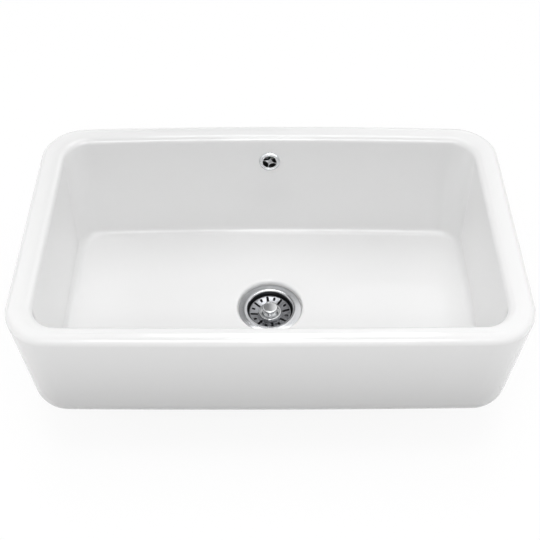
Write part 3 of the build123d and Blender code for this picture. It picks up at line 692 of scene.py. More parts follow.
# below these depths the well's colour is painted: paler first, which is painted light, then dark grey, which
# is painted shade
LIGHTENED_BELOW, SHADED_BELOW = 2.5 * MM, 13 * MM  # depths under the flange at which the finish changes
LIGHTENED_PART, SHADED_PART = 1, 2
hole = np.array([(0, 2 * MM), (THROAT_HOLE_R, 2 * MM), (THROAT_HOLE_R, -3 * MM), (0, -3 * MM)])
strainer_cup = drain_piece("strainer_cup", cup_outline, 192)
for a in np.arange(THROAT_HOLES) * 2 * pi / THROAT_HOLES:
    hole_at = (DRAIN[0] + THROAT_HOLES_AT * cos(a), DRAIN[1] + THROAT_HOLES_AT * sin(a), THROAT_Z)
    combine(strainer_cup, "DIFFERENCE", placed("throat_hole", lathe(hole, 40), at=hole_at))
settle(strainer_cup, pressed_stainless, "sink", "strainer_body", slot="stainless_pressed")
middles = face_middles(strainer_cup)
depth = FLANGE_Z - middles[:, 2]
within = np.hypot(*(middles[:, :2] - DRAIN).T) < WELL_R + NEAR
parts = np.where(within & (depth > LIGHTENED_BELOW), np.where(depth > SHADED_BELOW, SHADED_PART, LIGHTENED_PART), 0)
change_finish(strainer_cup, parts, drawn_lightened_stainless, painted_shade_stainless)

# %% [markdown]
# ## The basket's slotted dish
# The dish is pressed sheet with a long and a short slot in turn, sixteen in all. Cutting them from a
# turned sheet would leave ragged shading on polished metal. Instead each slot has a patch: a grid
# between the edge of its sector and its own round-ended outline, point by point. Sixteen patches and
# two turned bands share their edge points and merge into one sheet, which then gets its thickness.

# %% Sizes of the dish and its slots
POST_R = 3.5 * MM
DISH_R = 37.8 * MM
DISH_Z = FLANGE_Z - 9.5 * MM
DISH_FALL = 3.6 * MM
DISH_T = 1 * MM
DISH_SKIRT, DISH_EDGE_R = 7 * MM, 1.1 * MM
PATCH_OUT, PATCH_IN = 36 * MM, 20.3 * MM
SLOTS = 16
SLOT_HALF = 2.1 * MM             # half the width of a slot
LONG_SLOT = (21.5 * MM, 35.4 * MM)
SHORT_SLOT = (27 * MM, 33.6 * MM)
FIRST_SLOT = radians(8)
END_POINTS, EDGE_POINTS = 12, 10
DISH_COLUMNS = SLOTS * END_POINTS
print("slots", [round((end - start) / MM, 1) for start, end in (LONG_SLOT, SHORT_SLOT)], "mm long")


# %% Patches round the slots
def dish_height(radius):
    """The dish falls from its rim to the hub along a shallow curve: fall * s ** 1.25."""
    s = np.clip((PATCH_OUT - radius) / (PATCH_OUT - PATCH_IN), 0, 1)
    return DISH_Z - DISH_FALL * s ** 1.25


def sector_edge():
    """Once round a sector's edge: outer arc, side, inner arc, side, as (radius, angle)."""
    half = pi / SLOTS
    end, edge = np.arange(END_POINTS) / END_POINTS, np.arange(EDGE_POINTS) / EDGE_POINTS
    radius = [np.full(END_POINTS, PATCH_OUT), PATCH_OUT + (PATCH_IN - PATCH_OUT) * edge,
              np.full(END_POINTS, PATCH_IN), PATCH_IN + (PATCH_OUT - PATCH_IN) * edge]
    angle = [-half + 2 * half * end, np.full(EDGE_POINTS, half),
             half - 2 * half * end, np.full(EDGE_POINTS, -half)]
    r, a = np.concatenate(radius), np.concatenate(angle)
    return np.stack([r * np.cos(a), r * np.sin(a)], -1)


def slot_edge(inner, outer):
    """Once round a slot: its outer half circle, side, inner half circle, side, in the same order."""
    end, edge = np.arange(END_POINTS) / END_POINTS, np.arange(EDGE_POINTS) / EDGE_POINTS
    near, far = inner + SLOT_HALF, outer - SLOT_HALF
    a = -pi / 2 + pi * end
    x = [far + SLOT_HALF * np.cos(a), far + (near - far) * edge,
         near - SLOT_HALF * np.cos(a), near + (far - near) * edge]
    y = [SLOT_HALF * np.sin(a), np.full(EDGE_POINTS, SLOT_HALF),
         -SLOT_HALF * np.sin(a), np.full(EDGE_POINTS, -SLOT_HALF)]
    return np.stack([np.concatenate(x), np.concatenate(y)], -1)


def turned_about(points, angle):
    """Level points, or points with a height, turned about Z."""
    turn = np.eye(points.shape[-1])
    turn[:2, :2] = [[cos(angle), sin(angle)], [-sin(angle), cos(angle)]]
    return points @ turn


def patch(slot, turn):
    """Rows from the sector's edge to the slot's, closer together near the slot, turned into place."""
    t = (np.linspace(0, 1, 7) ** 0.7)[:, None, None]
    flat = sector_edge() * (1 - t) + slot_edge(*slot) * t
    return grid(rows_at(turned_about(flat, turn), dish_height(np.linalg.norm(flat, axis=-1))))


print("each patch has", 2 * (END_POINTS + EDGE_POINTS), "points round it")

# %% Dish sheet with its slots
turns = FIRST_SLOT + np.arange(SLOTS) * 2 * pi / SLOTS
patches = [patch((LONG_SLOT, SHORT_SLOT)[i % 2], turn) for i, turn in enumerate(turns)]
bend = np.linspace(0, pi / 2, 8)
rim_curve = np.stack([np.cos(bend) - 1, np.sin(bend) - 1], -1) * DISH_EDGE_R + (DISH_R, DISH_Z)
skirt = np.array([(DISH_R, DISH_Z - DISH_SKIRT), (DISH_R, DISH_Z - DISH_SKIRT / 2)])
outer_band = np.concatenate([skirt, rim_curve, [(PATCH_OUT, DISH_Z)]])
inner_band = np.stack([np.linspace(PATCH_IN, POST_R, 5), np.full(5, DISH_Z - DISH_FALL)], -1)
first_edge = FIRST_SLOT - pi / SLOTS
bands = [grid(turned_about(lathe(band, DISH_COLUMNS), first_edge)) for band in (outer_band, inner_band)]
places, faces = join(*patches, *bands)
basket_strainer_dish = mesh_object("basket_strainer_dish", places + np.array([*DRAIN, 0]), faces)
print("dish of", SLOTS, "slots in", DISH_COLUMNS, "columns")

# %% Dish thickness and edges
top_face = max(basket_strainer_dish.data.polygons, key=lambda face: face.center.z)
if top_face.normal.z < 0:
    basket_strainer_dish.data.flip_normals()
wall_modifier = basket_strainer_dish.modifiers.new("sheet", "SOLIDIFY")
wall_modifier.thickness = DISH_T
wall_modifier.offset = -1
wall_modifier.use_even_offset = True
edge_modifier = basket_strainer_dish.modifiers.new("broken edges", "BEVEL")
edge_modifier.width = 0.18 * MM
edge_modifier.segments = 2
edge_modifier.limit_method = "ANGLE"
edge_modifier.angle_limit = radians(50)
bake(basket_strainer_dish)
settle(basket_strainer_dish, satin_shaded_stainless, "basket", "basket_dish", slot="stainless_pressed")

# %% [markdown]
# ## Hub and knob
# A dished hub clamps the middle of the basket, and the mushroom knob above it lifts the basket out or
# pushes its seal down. Both are turned from bar, so they are lathe shapes too. The knob's top is very
# slightly domed, which makes it show one soft reflection from edge to edge instead of a flat mirror.

# %% Hub and knob
DISH_MIDDLE_Z = DISH_Z - DISH_FALL
HUB_R, HUB_LIP_R, HUB_HOLLOW_R = 19.6 * MM, 16.4 * MM, 12 * MM
HUB_TOP_Z = DISH_MIDDLE_Z + 5.5 * MM
HUB_CUP_Z = HUB_TOP_Z - 3 * MM
KNOB_R = 13 * MM
KNOB_TOP_Z = FLANGE_Z + 5 * MM
KNOB_NECK_R = 9.5 * MM
KNOB_DOME, KNOB_EDGE_R = 0.7 * MM, 1.7 * MM
KNOB_SOCKET_Z = KNOB_TOP_Z - 8 * MM  # where the post ends inside the knob
FINE_STEPS = 10

hub_outline = fillet(
    (POST_R, DISH_MIDDLE_Z), (HUB_R, DISH_MIDDLE_Z, 0.3 * MM), (HUB_R, HUB_TOP_Z, 0.9 * MM),
    (HUB_LIP_R, HUB_TOP_Z, 1.0 * MM), (HUB_HOLLOW_R, HUB_CUP_Z, 2.6 * MM), (POST_R, HUB_CUP_Z),
    steps=FINE_STEPS,
)
basket_centre_hub = drain_piece("basket_centre_hub", hub_outline)
settle(basket_centre_hub, turned_stainless, "basket", "basket_hub", slot="chrome_trim")

dome_r = np.linspace(0, KNOB_R - KNOB_EDGE_R, 10)
dome = np.stack([dome_r, KNOB_TOP_Z - KNOB_DOME * (dome_r / KNOB_R) ** 2], -1)
knob_side = fillet(
    (KNOB_R - 2.4 * MM, KNOB_TOP_Z - KNOB_DOME * 0.7), (KNOB_R, KNOB_TOP_Z - KNOB_DOME, KNOB_EDGE_R),
    (KNOB_R, KNOB_TOP_Z - 4.0 * MM, 1.3 * MM), (KNOB_NECK_R + 0.7 * MM, KNOB_TOP_Z - 5.5 * MM, 0.8 * MM),
    (KNOB_NECK_R, HUB_CUP_Z, 0.4 * MM), (POST_R, HUB_CUP_Z), (POST_R, KNOB_SOCKET_Z), steps=FINE_STEPS,
)
knob_outline = np.concatenate([dome[:-1], knob_side[FINE_STEPS:], [(0, KNOB_SOCKET_Z)]])
basket_lifting_knob = drain_piece("basket_lifting_knob", knob_outline)
settle(basket_lifting_knob, turned_stainless, "basket", "basket_knob", slot="chrome_trim")

# %% [markdown]
# ## The overflow cover
# A bright plated ring with a four-pointed star across its window. The star's sides are arcs that
# curve inwards, and its face rises from the edge to a low ridge along each arm, like a compass rose.
# That is a cone over the star's outline: height = rise * (1 - share of the way to the outline).

# %% Outlines of the cover's ring and star
COVER_BACK = 0.5 * MM            # cover's back above the wall: its seal less the land
COVER_T = 3 * MM
COVER_FRONT = COVER_BACK + COVER_T
NECK_LENGTH = 9 * MM
WINDOW_R = 12 * MM
NECK_R = 13.4 * MM
STAR_TIP = WINDOW_R + 0.6 * MM
STAR_WAIST = 4.3 * MM
STAR_HALF_TIP = 0.8 * MM
STAR_TURN = radians(-15)
STAR_RISE, STAR_EDGE = 1.5 * MM, 1.1 * MM
BOSS_R, BOSS_LENGTH = 4 * MM, 5 * MM  # behind the star, for the stud

ring_outline = fillet(
    (WINDOW_R, COVER_FRONT - 1.5 * MM, 0.4 * MM), (WINDOW_R + 0.5 * MM, COVER_FRONT - 0.5 * MM, 0.5 * MM),
    (WINDOW_R + 2.2 * MM, COVER_FRONT, 1.0 * MM), (COVER_R - 2.2 * MM, COVER_FRONT - 0.4 * MM, 1.6 * MM),
    (COVER_R, COVER_BACK + 1.0 * MM, 0.5 * MM), (COVER_R, COVER_BACK), (NECK_R, COVER_BACK),
    (NECK_R, COVER_BACK - NECK_LENGTH), (WINDOW_R, COVER_BACK - NECK_LENGTH),
)


def star_outline(points=24):
    """Four arcs that curve inwards. By symmetry an arc's centre is (c, c), equally far from the waist
    point (w, w) and the tip point (tip, half tip): c = (tip2 + half2 - 2 w2) / (2 (tip + half) - 4 w)."""
    w = STAR_WAIST / sqrt(2)
    c = (STAR_TIP ** 2 + STAR_HALF_TIP ** 2 - 2 * w ** 2) / (2 * (STAR_TIP + STAR_HALF_TIP) - 4 * w)
    start = atan2(STAR_HALF_TIP - c, STAR_TIP - c)
    end = atan2(STAR_TIP - c, STAR_HALF_TIP - c) - 2 * pi
    angle = np.linspace(start, end, points)
    radius = sqrt(2) * (c - w)
    side = c + radius * np.stack([np.cos(angle), np.sin(angle)], -1)
    quarter = np.array([[0, 1], [-1, 0]])
    return np.concatenate([side @ np.linalg.matrix_power(quarter, k) for k in range(4)])


print("star", round(2 * STAR_TIP / MM, 1), "mm from tip to tip")

# %% Overflow cover
star = turned_about(star_outline(), STAR_TURN)
share = np.linspace(0, 1, 9)[:, None]
face_rows = rows_at(share[..., None] * star, COVER_BACK + STAR_EDGE + STAR_RISE * (1 - share))
back_rows = rows_at(np.array([1.0, 0.0])[:, None, None] * star, COVER_BACK)
boss_profile = fillet(
    (0, COVER_BACK), (BOSS_R, COVER_BACK), (BOSS_R, COVER_BACK - BOSS_LENGTH), (0, COVER_BACK - BOSS_LENGTH),
    steps=2,
)
overflow_star_cover = placed(
    "overflow_star_cover", lathe(ring_outline, 112), np.concatenate([face_rows, back_rows]),
    lathe(boss_profile, 48), at=OVERFLOW_AT, axis=OVERFLOW_AXIS,
)
print("overflow cover", round(2 * COVER_R / MM, 1), "mm across")

# %% [markdown]
# ## Bright chrome plate
# Chrome plate is the brightest metal on the sink: a thin hard chromium layer over nickel, with a very
# slight blue in it and hardly any roughness. Water spots and wiping leave a faint haze, which is what
# the low noise on its roughness stands for. The star is brushed before it is plated, so it looks
# darker and softer than the ring. Inside the window the moulding is coloured near black, which is
# painted shade for the depth of the hole.

# %% Finishes of the cover
def uneven(name, values, size, detail, smoothest, roughest):
    """A finish with one colour, whose roughness varies over patches of that size."""
    material, tree, shader = finish(name, values)
    place = add(tree, "ShaderNodeTexCoord").outputs["Object"]
    patches = add(tree, "ShaderNodeTexNoise", {"Scale": 1 / size, "Detail": detail}, {"Vector": place})
    rough = add(
        tree, "ShaderNodeMapRange", {"To Min": smoothest, "To Max": roughest}, {"Value": patches.outputs[0]}
    )
    tree.links.new(rough.outputs[0], shader.inputs["Roughness"])
    return material


HAZE = 6 * MM                    # traces of water and of wiping
GRAIN = 0.4 * MM                 # of the brushing and of the mould, drawn coarse enough to show
bright, satin = ({"Base Color": linear(colour), "Metallic": 1.0} for colour in ("DCDEE0", "A2A3A5"))
chrome_plate = uneven("chrome_plate_bright", bright, HAZE, 3.0, 0.04, 0.2)
satin_star = uneven("chrome_plate_satin", satin, GRAIN, 2.0, 0.2, 0.42)
# near-black finish for the cover's bore: painted shade for the depth of the hole
painted_shade_plastic = {"Base Color": linear("0C0C0D"), "IOR": 1.54}
painted_shade_abs = uneven("black_abs_painted_shade", painted_shade_plastic, GRAIN, 2.0, 0.5, 0.8)
settle(overflow_star_cover, chrome_plate, "sink", "overflow_cover", slot="chrome_trim")

# %% Where the plating ends
STAR, BORE = 1, 2
PLATED_DEPTH = 2 * MM            # how far the plating reaches into the ring's window
middles = face_middles(overflow_star_cover) - OVERFLOW_AT
ahead = middles @ OVERFLOW_AXIS
aside = np.linalg.norm(middles - ahead[:, None] * np.array(OVERFLOW_AXIS), axis=1)
# the bore faces take the near-black finish, which is painted shade inside the hole
parts = np.where(ahead > COVER_BACK + NEAR, STAR, BORE)
parts = np.where((aside > WINDOW_R - NEAR) & (ahead > COVER_FRONT - PLATED_DEPTH), 0, parts)
parts = np.where(aside > WINDOW_R + 2 * NEAR, 0, parts)
change_finish(overflow_star_cover, parts, satin_star, painted_shade_abs)
print("cover:", [int((parts == part).sum()) for part in range(3)], "plated, satin and bare faces")

# %% [markdown]
# ## The rubber collar behind the wall
# Behind the wall a rubber ring seals the elbow's flange. It is moulded with a thin collar that lines
# the hole and keeps water off the bare clay. The collar is black rubber, and it is also put there as
# painted shade for the depth of the hole, so that the overflow's openings look black.

# %% Rubber collar in the overflow hole
COLLAR_T = 0.6 * MM
REAR_SEAL_T = 2.5 * MM
NECK_END = NECK_LENGTH + 0.5 * MM  # just behind the cover's neck
collar_r = OVERFLOW_HOLE_R - 0.1 * MM
collar = fillet(
    (collar_r - COLLAR_T, -NECK_END, 0.2 * MM), (collar_r, -NECK_END, 0.2 * MM), (collar_r, -SPOT_AT),
    (REAR_R, -SPOT_AT, 0.6 * MM), (REAR_R, -SPOT_AT - REAR_SEAL_T, 0.6 * MM),
    (collar_r - COLLAR_T, -SPOT_AT - REAR_SEAL_T, 0.2 * MM),
)
# the black collar partly stands in for the shade deep in the overflow hole, as painted shade
overflow_collar = placed("overflow_rubber_collar", lathe(collar, 96), at=OVERFLOW_AT, axis=OVERFLOW_AXIS)
print("collar", round((SPOT_AT - NECK_END) / MM, 1), "mm long")

# %% [markdown]
# ## Moulded plastic for the plumbing
# What hangs under a sink is moulded in white polypropylene: a waxy plastic, neither matt nor bright,
# with the fine spark-eroded grain of its steel mould. Real grain is about a tenth of a millimetre,
# so it is drawn at half a millimetre here to show at all. A second, wider noise varies the gloss,
# as flow and handling do. A little light enters such a plastic, which is why its edges look soft.

# %% Finishes of plastic, rubber, foam and brass
def dull(name, colour, ior, roughness, spread, grain, depth, scatter=0.0):
    """A finish with even colour, a grain of that size and depth as bump, and gloss that varies."""
    material, tree, shader = finish(name, {
        "Base Color": linear(colour), "IOR": ior, "Subsurface Weight": scatter,
        "Subsurface Scale": 1.5 * MM,
    })
    place = add(tree, "ShaderNodeTexCoord").outputs["Object"]
    fine = add(tree, "ShaderNodeTexNoise", {"Scale": 1 / grain, "Detail": 2.0}, {"Vector": place})
    wide = add(tree, "ShaderNodeTexNoise", {"Scale": 1 / (30 * MM), "Detail": 2.0}, {"Vector": place})
    rough = add(
        tree, "ShaderNodeMapRange",
        {"From Min": 0.3, "From Max": 0.7, "To Min": roughness, "To Max": roughness + spread},
        {"Value": wide.outputs[0]},
    )
    bump = add(
        tree, "ShaderNodeBump", {"Strength": 1.0, "Distance": depth}, {"Height": fine.outputs[0]}
    )
    tree.links.new(rough.outputs[0], shader.inputs["Roughness"])
    tree.links.new(bump.outputs[0], shader.inputs["Normal"])
    return material


moulded_white = dull("moulded_white_polypropylene", "E2E2DE", 1.49, 0.34, 0.14, 0.5 * MM, 0.012 * MM, 0.15)
grey_acetal = dull("moulded_grey_acetal", "727477", 1.48, 0.3, 0.12, 0.4 * MM, 0.008 * MM)
black_rubber = dull("moulded_black_nitrile_rubber", "1D1D1E", 1.52, 0.5, 0.2, 0.4 * MM, 0.02 * MM)
white_foam = dull("closed_cell_polyethylene_foam", "D8D8D2", 1.5, 0.75, 0.15, 0.7 * MM, 0.08 * MM, 0.1)
settle(overflow_collar, black_rubber, "sink", "overflow_rear_seal", slot="black_rubber")
turned_brass = ringed_metal("turned_brass", "D6B878", 0.16, 0.14, TURNED, 0.002 * MM)
print("five more finishes")

# %% [markdown]
# ## The waste body
# One moulding clamps the strainer from below: a flange with twelve gussets, a cup, a funnel and a
# threaded outlet, with a socket at the back for the overflow. It is a turned outline like the rest.
# Only the thread isn't round: there the radius also depends on the angle, so that the crest climbs
# one pitch a turn. Gussets, socket and the spider that holds the screw are joined on by a union.

# %% Waste body: turned outline with a true helical thread
INCH_THREAD = 25.4 / 11 * MM     # eleven threads to the inch
THREAD_DEPTH = 1.4 * MM
END_BEVEL = 0.6 * MM             # at the outlet's end, below the thread
THREAD_R = 23.9 * MM
OUTLET_R, SPIDER_BORE = 19.5 * MM, 19 * MM
CUP_R, CUP_OUT, OUTLET_NECK_R = 43.5 * MM, 46.5 * MM, 27 * MM
BODY_FLANGE_R, BODY_FLANGE_T = 58 * MM, 4 * MM
FUNNEL_Z = THROAT_Z - SHEET - 4.3 * MM
OUTLET_TOP_Z = FUNNEL_Z - 11 * MM
THREAD_TOP_Z = OUTLET_TOP_Z - 4 * MM
SPIDER_END_Z = OUTLET_TOP_Z - 9 * MM
waste_low, waste_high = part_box("waste_body")
OUTLET_END_Z, BODY_FLANGE_Z = waste_low.z, waste_high.z
ROWS_PER_PITCH, THREAD_COLUMNS = 12, 96


def threaded(rows, top, end):
    """Radius = crest - depth * (1 - form), where form is a clipped cosine of (z / pitch - turns)."""
    height = rows[..., 2]
    radius = np.linalg.norm(rows[..., :2], axis=-1)
    turns = np.arctan2(rows[..., 1], rows[..., 0]) / (2 * pi)
    form = np.clip(0.5 + 0.75 * np.cos(2 * pi * (height / INCH_THREAD - turns)), 0, 1)
    fade = np.clip(np.minimum(top - height, height - end) / INCH_THREAD, 0, 1)
    cut = THREAD_DEPTH * (1 - form * fade)
    rows[..., :2] *= (1 - cut / radius)[..., None]
    return rows


flange_low = BODY_FLANGE_Z - BODY_FLANGE_T
outside = fillet(
    (CUP_R, BODY_FLANGE_Z, 0.3 * MM), (BODY_FLANGE_R, BODY_FLANGE_Z, 0.6 * MM),
    (BODY_FLANGE_R, flange_low, 1.0 * MM), (CUP_OUT, flange_low, 1.5 * MM),
    (CUP_OUT, FUNNEL_Z - 1.5 * MM, 4.0 * MM), (OUTLET_NECK_R, OUTLET_TOP_Z - 2.5 * MM, 2.0 * MM),
    (OUTLET_NECK_R, THREAD_TOP_Z, 0.8 * MM), (THREAD_R, THREAD_TOP_Z),
)[:-ARC_STEPS]                   # the thread's own rows take the last corner's place
count = round((THREAD_TOP_Z - OUTLET_END_Z) / INCH_THREAD * ROWS_PER_PITCH)
thread_z = np.linspace(THREAD_TOP_Z, OUTLET_END_Z + END_BEVEL, count)
crest = lathe(np.stack([np.full(count, THREAD_R), thread_z], -1), THREAD_COLUMNS)
thread_rows = threaded(crest, THREAD_TOP_Z, OUTLET_END_Z)
inside = fillet(
    (THREAD_R - THREAD_DEPTH - END_BEVEL, OUTLET_END_Z, 0.3 * MM), (OUTLET_R, OUTLET_END_Z, 0.5 * MM),
    (OUTLET_R, SPIDER_END_Z), (SPIDER_BORE, SPIDER_END_Z), (SPIDER_BORE, OUTLET_TOP_Z, 0.8 * MM),
    (CUP_R, FUNNEL_Z, 3.0 * MM),
)
shell = np.concatenate([lathe(outside, THREAD_COLUMNS), thread_rows, lathe(inside, THREAD_COLUMNS)])
drain_at = (*DRAIN, 0)
waste_body = placed("waste_body_moulding", shell, at=drain_at)
print("thread of", round((THREAD_TOP_Z - OUTLET_END_Z) / INCH_THREAD, 1), "turns")

# %% Waste body: gussets and spider
GUSSETS = 12
GUSSET_T, GUSSET_DROP = 2.5 * MM, 12 * MM
SPIDER_ARMS, SPIDER_T, SPIDER_FIRST = 3, 4 * MM, radians(30)
INSERT_R, INSERT_T, BOSS_OUT_R = 7.55 * MM, 8 * MM, 10.5 * MM  # pocket of the brass nut, and its wall


def prism(outline, low, high):
    """A level outline carried straight up, closed by a fan at each end: rows middle, edge, edge, middle."""
    points = np.array(outline, float)
    middle = np.broadcast_to(points.mean(0), points.shape)
    return rows_at(np.stack([middle, points, points, middle]), np.array([low, low, high, high])[:, None])


gusset = prism([
    (CUP_R + 1.5 * MM, flange_low + 1 * MM), (BODY_FLANGE_R - 2 * MM, flange_low + 1 * MM),
    (BODY_FLANGE_R - 2.4 * MM, flange_low - 0.6 * MM), (CUP_OUT + 0.6 * MM, flange_low - GUSSET_DROP),
    (CUP_R + 1.5 * MM, flange_low - GUSSET_DROP - 1 * MM),
], -GUSSET_T / 2, GUSSET_T / 2)[..., [0, 2, 1]]
gussets = [turned_about(gusset, pi / GUSSETS + i * 2 * pi / GUSSETS) for i in range(GUSSETS)]
arm_start, arm_end, arm_half = 8.5 * MM, SPIDER_BORE + 1 * MM, SPIDER_T / 2
arm = prism([
    (arm_start, -arm_half), (arm_end, -arm_half), (arm_end, arm_half), (arm_start, arm_half)
], SPIDER_END_Z, OUTLET_TOP_Z)
arms = [turned_about(arm, SPIDER_FIRST + i * 2 * pi / SPIDER_ARMS) for i in range(SPIDER_ARMS)]
boss = lathe(fillet(
    (INSERT_R, SPIDER_END_Z), (BOSS_OUT_R, SPIDER_END_Z, 0.5 * MM), (BOSS_OUT_R, OUTLET_TOP_Z, 1.0 * MM),
    (SCREW_R, OUTLET_TOP_Z), (SCREW_R, SPIDER_END_Z + INSERT_T), (INSERT_R, SPIDER_END_Z + INSERT_T),
), 64)
print(len(gussets), "gussets and", len(arms), "spider arms")

# %% Waste body: overflow socket, and all of it joined
SOCKET_R, SOCKET_REACH = 12.6 * MM, 66 * MM
PIPE_R, PIPE_BORE_R, PIPE_FIT = 10 * MM, 8 * MM, 0.05 * MM
SOCKET_DEPTH = 9 * MM
INLET_Z = THROAT_Z + 9 * MM
socket_foot_r = SOCKET_R + 1.5 * MM
socket = lathe(fillet(
    (0, CUP_R + 1 * MM), (socket_foot_r, CUP_R + 1 * MM), (socket_foot_r, CUP_R + 4 * MM, 2.0 * MM),
    (SOCKET_R, CUP_R + 6.5 * MM, 2.0 * MM), (SOCKET_R, SOCKET_REACH, 0.5 * MM), (0, SOCKET_REACH),
), 64)
socket_bore = lathe(np.array([
    (0, CUP_R - 3 * MM), (PIPE_BORE_R, CUP_R - 3 * MM), (PIPE_BORE_R, SOCKET_REACH - SOCKET_DEPTH),
    (PIPE_R + PIPE_FIT, SOCKET_REACH - SOCKET_DEPTH), (PIPE_R + PIPE_FIT, SOCKET_REACH + 1 * MM),
    (0, SOCKET_REACH + 1 * MM),
]), 64)
inlet_at, backwards = (*DRAIN, INLET_Z), (0, 1, 0)
for extra in (
    placed("gussets", *gussets, at=drain_at), placed("spider_arms", *arms, at=drain_at),
    placed("screw_boss", boss, at=drain_at),
    placed("overflow_socket", socket, at=inlet_at, axis=backwards),
):
    combine(waste_body, "UNION", extra)
combine(waste_body, "DIFFERENCE", placed("socket_bore", socket_bore, at=inlet_at, axis=backwards))
settle(waste_body, moulded_white, "sink", "waste_body", slot="white_plastic")

# %% [markdown]
# ## The overflow's elbow and pipe
# Both are tubes that follow a bent line in the sink's middle plane: straight, round a bend, and
# straight again. A ring of points is set square to that line at each step, first outside and then
# back inside, so a tube is one closed grid. A curve with a round bevel would do, but it has no bore.

# %% Sizes of elbow and pipe
PIPE_Y = BACK_Y + 16.5 * MM
ELBOW_RUN = (PIPE_Y - OVERFLOW_AT[1]) / cos(BACK_LEAN)
ELBOW_Z = OVERFLOW_AT[2] - ELBOW_RUN * sin(BACK_LEAN)
FLANGE_AT = SPOT_AT + REAR_SEAL_T
NECK_AT = SPOT_AT - 12 * MM
ELBOW_R, ELBOW_BORE_R = 13.2 * MM, 10.5 * MM
ELBOW_BEND, PIPE_BEND = 14.5 * MM, 32 * MM
ELBOW_FLANGE_T, ELBOW_ROOT_T = 3 * MM, 5.3 * MM  # its rim, and where its soft root ends on the tube
SOCKET_LENGTH = 24 * MM
TUBE_COLUMNS = 72
RUN_ROWS, BEND_ROWS = 9, 20
print("pipe", round((PIPE_Y - BACK_Y) / MM, 1), "mm behind the body's back edge")


# %% Lines with one bend
def bent_line(start, corner, end, radius, straight=RUN_ROWS, steps=BEND_ROWS):
    """Points (y, z) and directions along start, an arc that touches both runs, and end; its tangent
    length is radius * tan(turn / 2)."""
    start, corner, end = (np.array(point, float) for point in (start, corner, end))
    before = (corner - start) / np.linalg.norm(corner - start)
    after = (end - corner) / np.linalg.norm(end - corner)
    turn = np.arccos(before @ after)
    tangent = radius * np.tan(turn / 2)
    first, last = corner - before * tangent, corner + after * tangent
    t = np.linspace(0, 1, straight)[:, None]
    share = np.linspace(0, 1, steps)[:, None]
    heading = (np.sin((1 - share) * turn) * before + np.sin(share * turn) * after) / np.sin(turn)
    inwards = (after - before * (before @ after)) / np.sin(turn)
    centre = first + inwards * radius
    outwards = np.stack([heading[:, 1], -heading[:, 0]], -1)
    outwards *= np.sign(outwards[0] @ (first - centre))
    points = [start + (first - start) * t, centre + radius * outwards, last + (end - last) * t]
    headings = [np.repeat([before], straight, 0), heading, np.repeat([after], straight, 0)]
    return np.concatenate(points), np.concatenate(headings)


print("a bent line has", 2 * RUN_ROWS + BEND_ROWS, "points")


# %% Tubes along a bent line
def tube_rows(points, headings, radius):
    """Rings square to a line in the YZ plane: point + radius * (cos a * X + sin a * side)."""
    angle = np.arange(TUBE_COLUMNS) * 2 * pi / TUBE_COLUMNS
    radius = np.broadcast_to(radius, len(points))[:, None]
    beside = radius * np.sin(angle)
    x = radius * np.cos(angle)
    y = points[:, :1] - headings[:, 1:] * beside
    z = points[:, 1:] + headings[:, :1] * beside
    return np.stack([x, y, z], -1)


def tube(name, line, outer, inner):
    """A closed tube: the outside along the line, then the bore back again."""
    points, headings = line
    outside = tube_rows(points, headings, outer)
    inside = tube_rows(points[::-1], headings[::-1], inner)
    return mesh_object(name, *grid(np.concatenate([outside, inside]), wrap_rows=True))


def tapered(start, end):
    """A radius for each ring of a bent line: one value, a straight change round the bend, the other."""
    bend = np.linspace(start, end, BEND_ROWS)
    return np.concatenate([np.full(RUN_ROWS, start), bend, np.full(RUN_ROWS, end)])


def along_hole(distance):
    """(y, z) of a point on the overflow hole's axis, that far behind the bowl's wall."""
    return OVERFLOW_AT[1] + distance * cos(BACK_LEAN), OVERFLOW_AT[2] - distance * sin(BACK_LEAN)


print("helpers for bent tubes are ready")

# %% Elbow behind the wall
socket_end = (PIPE_Y, ELBOW_Z - SOCKET_LENGTH)
elbow_line = bent_line(along_hole(NECK_AT), (PIPE_Y, ELBOW_Z), socket_end, ELBOW_BEND)
elbow_bore = tapered(ELBOW_BORE_R, PIPE_BORE_R)
overflow_elbow = tube("overflow_elbow_moulding", elbow_line, tapered(ELBOW_R, SOCKET_R), elbow_bore[::-1])
away = tuple(-value for value in OVERFLOW_AXIS)
flange_inside = ELBOW_BORE_R + 1 * MM
flange_end, root_end = FLANGE_AT + ELBOW_FLANGE_T, FLANGE_AT + ELBOW_ROOT_T
elbow_flange = lathe(fillet(
    (flange_inside, FLANGE_AT), (REAR_R, FLANGE_AT, 0.4 * MM), (REAR_R, flange_end, 0.9 * MM),
    (ELBOW_R + 0.9 * MM, flange_end, 1.1 * MM), (ELBOW_R - 0.7 * MM, root_end), (flange_inside, root_end),
))
combine(overflow_elbow, "UNION", placed("elbow_flange", elbow_flange, at=OVERFLOW_AT, axis=away))
counterbore = lathe(np.array([
    (0, -1 * MM), (PIPE_R + PIPE_FIT, -1 * MM), (PIPE_R + PIPE_FIT, SOCKET_DEPTH), (0, SOCKET_DEPTH)
]), 64)
combine(overflow_elbow, "DIFFERENCE", placed("counterbore", counterbore, at=(0, *socket_end)))
print("the elbow's socket ends at a height of", round(socket_end[1] / MM, 1), "mm")

# %% Cross bar for the stud
BAR_T, BAR_HALF_WIDTH = 6 * MM, 1.5 * MM
STUD_BOSS_R, STUD_HOLE_R = 5.5 * MM, 4.05 * MM
bar_half = ELBOW_BORE_R + 0.5 * MM
bar = prism([
    (-bar_half, -BAR_HALF_WIDTH), (bar_half, -BAR_HALF_WIDTH),
    (bar_half, BAR_HALF_WIDTH), (-bar_half, BAR_HALF_WIDTH),
], NECK_AT, NECK_AT + BAR_T)


def rod(radius, low, high):
    """A solid round bar along the hole, with its ends at those distances from the neck's end."""
    return lathe(np.array([(0, low), (radius, low), (radius, high), (0, high)]) + (0, NECK_AT), 48)


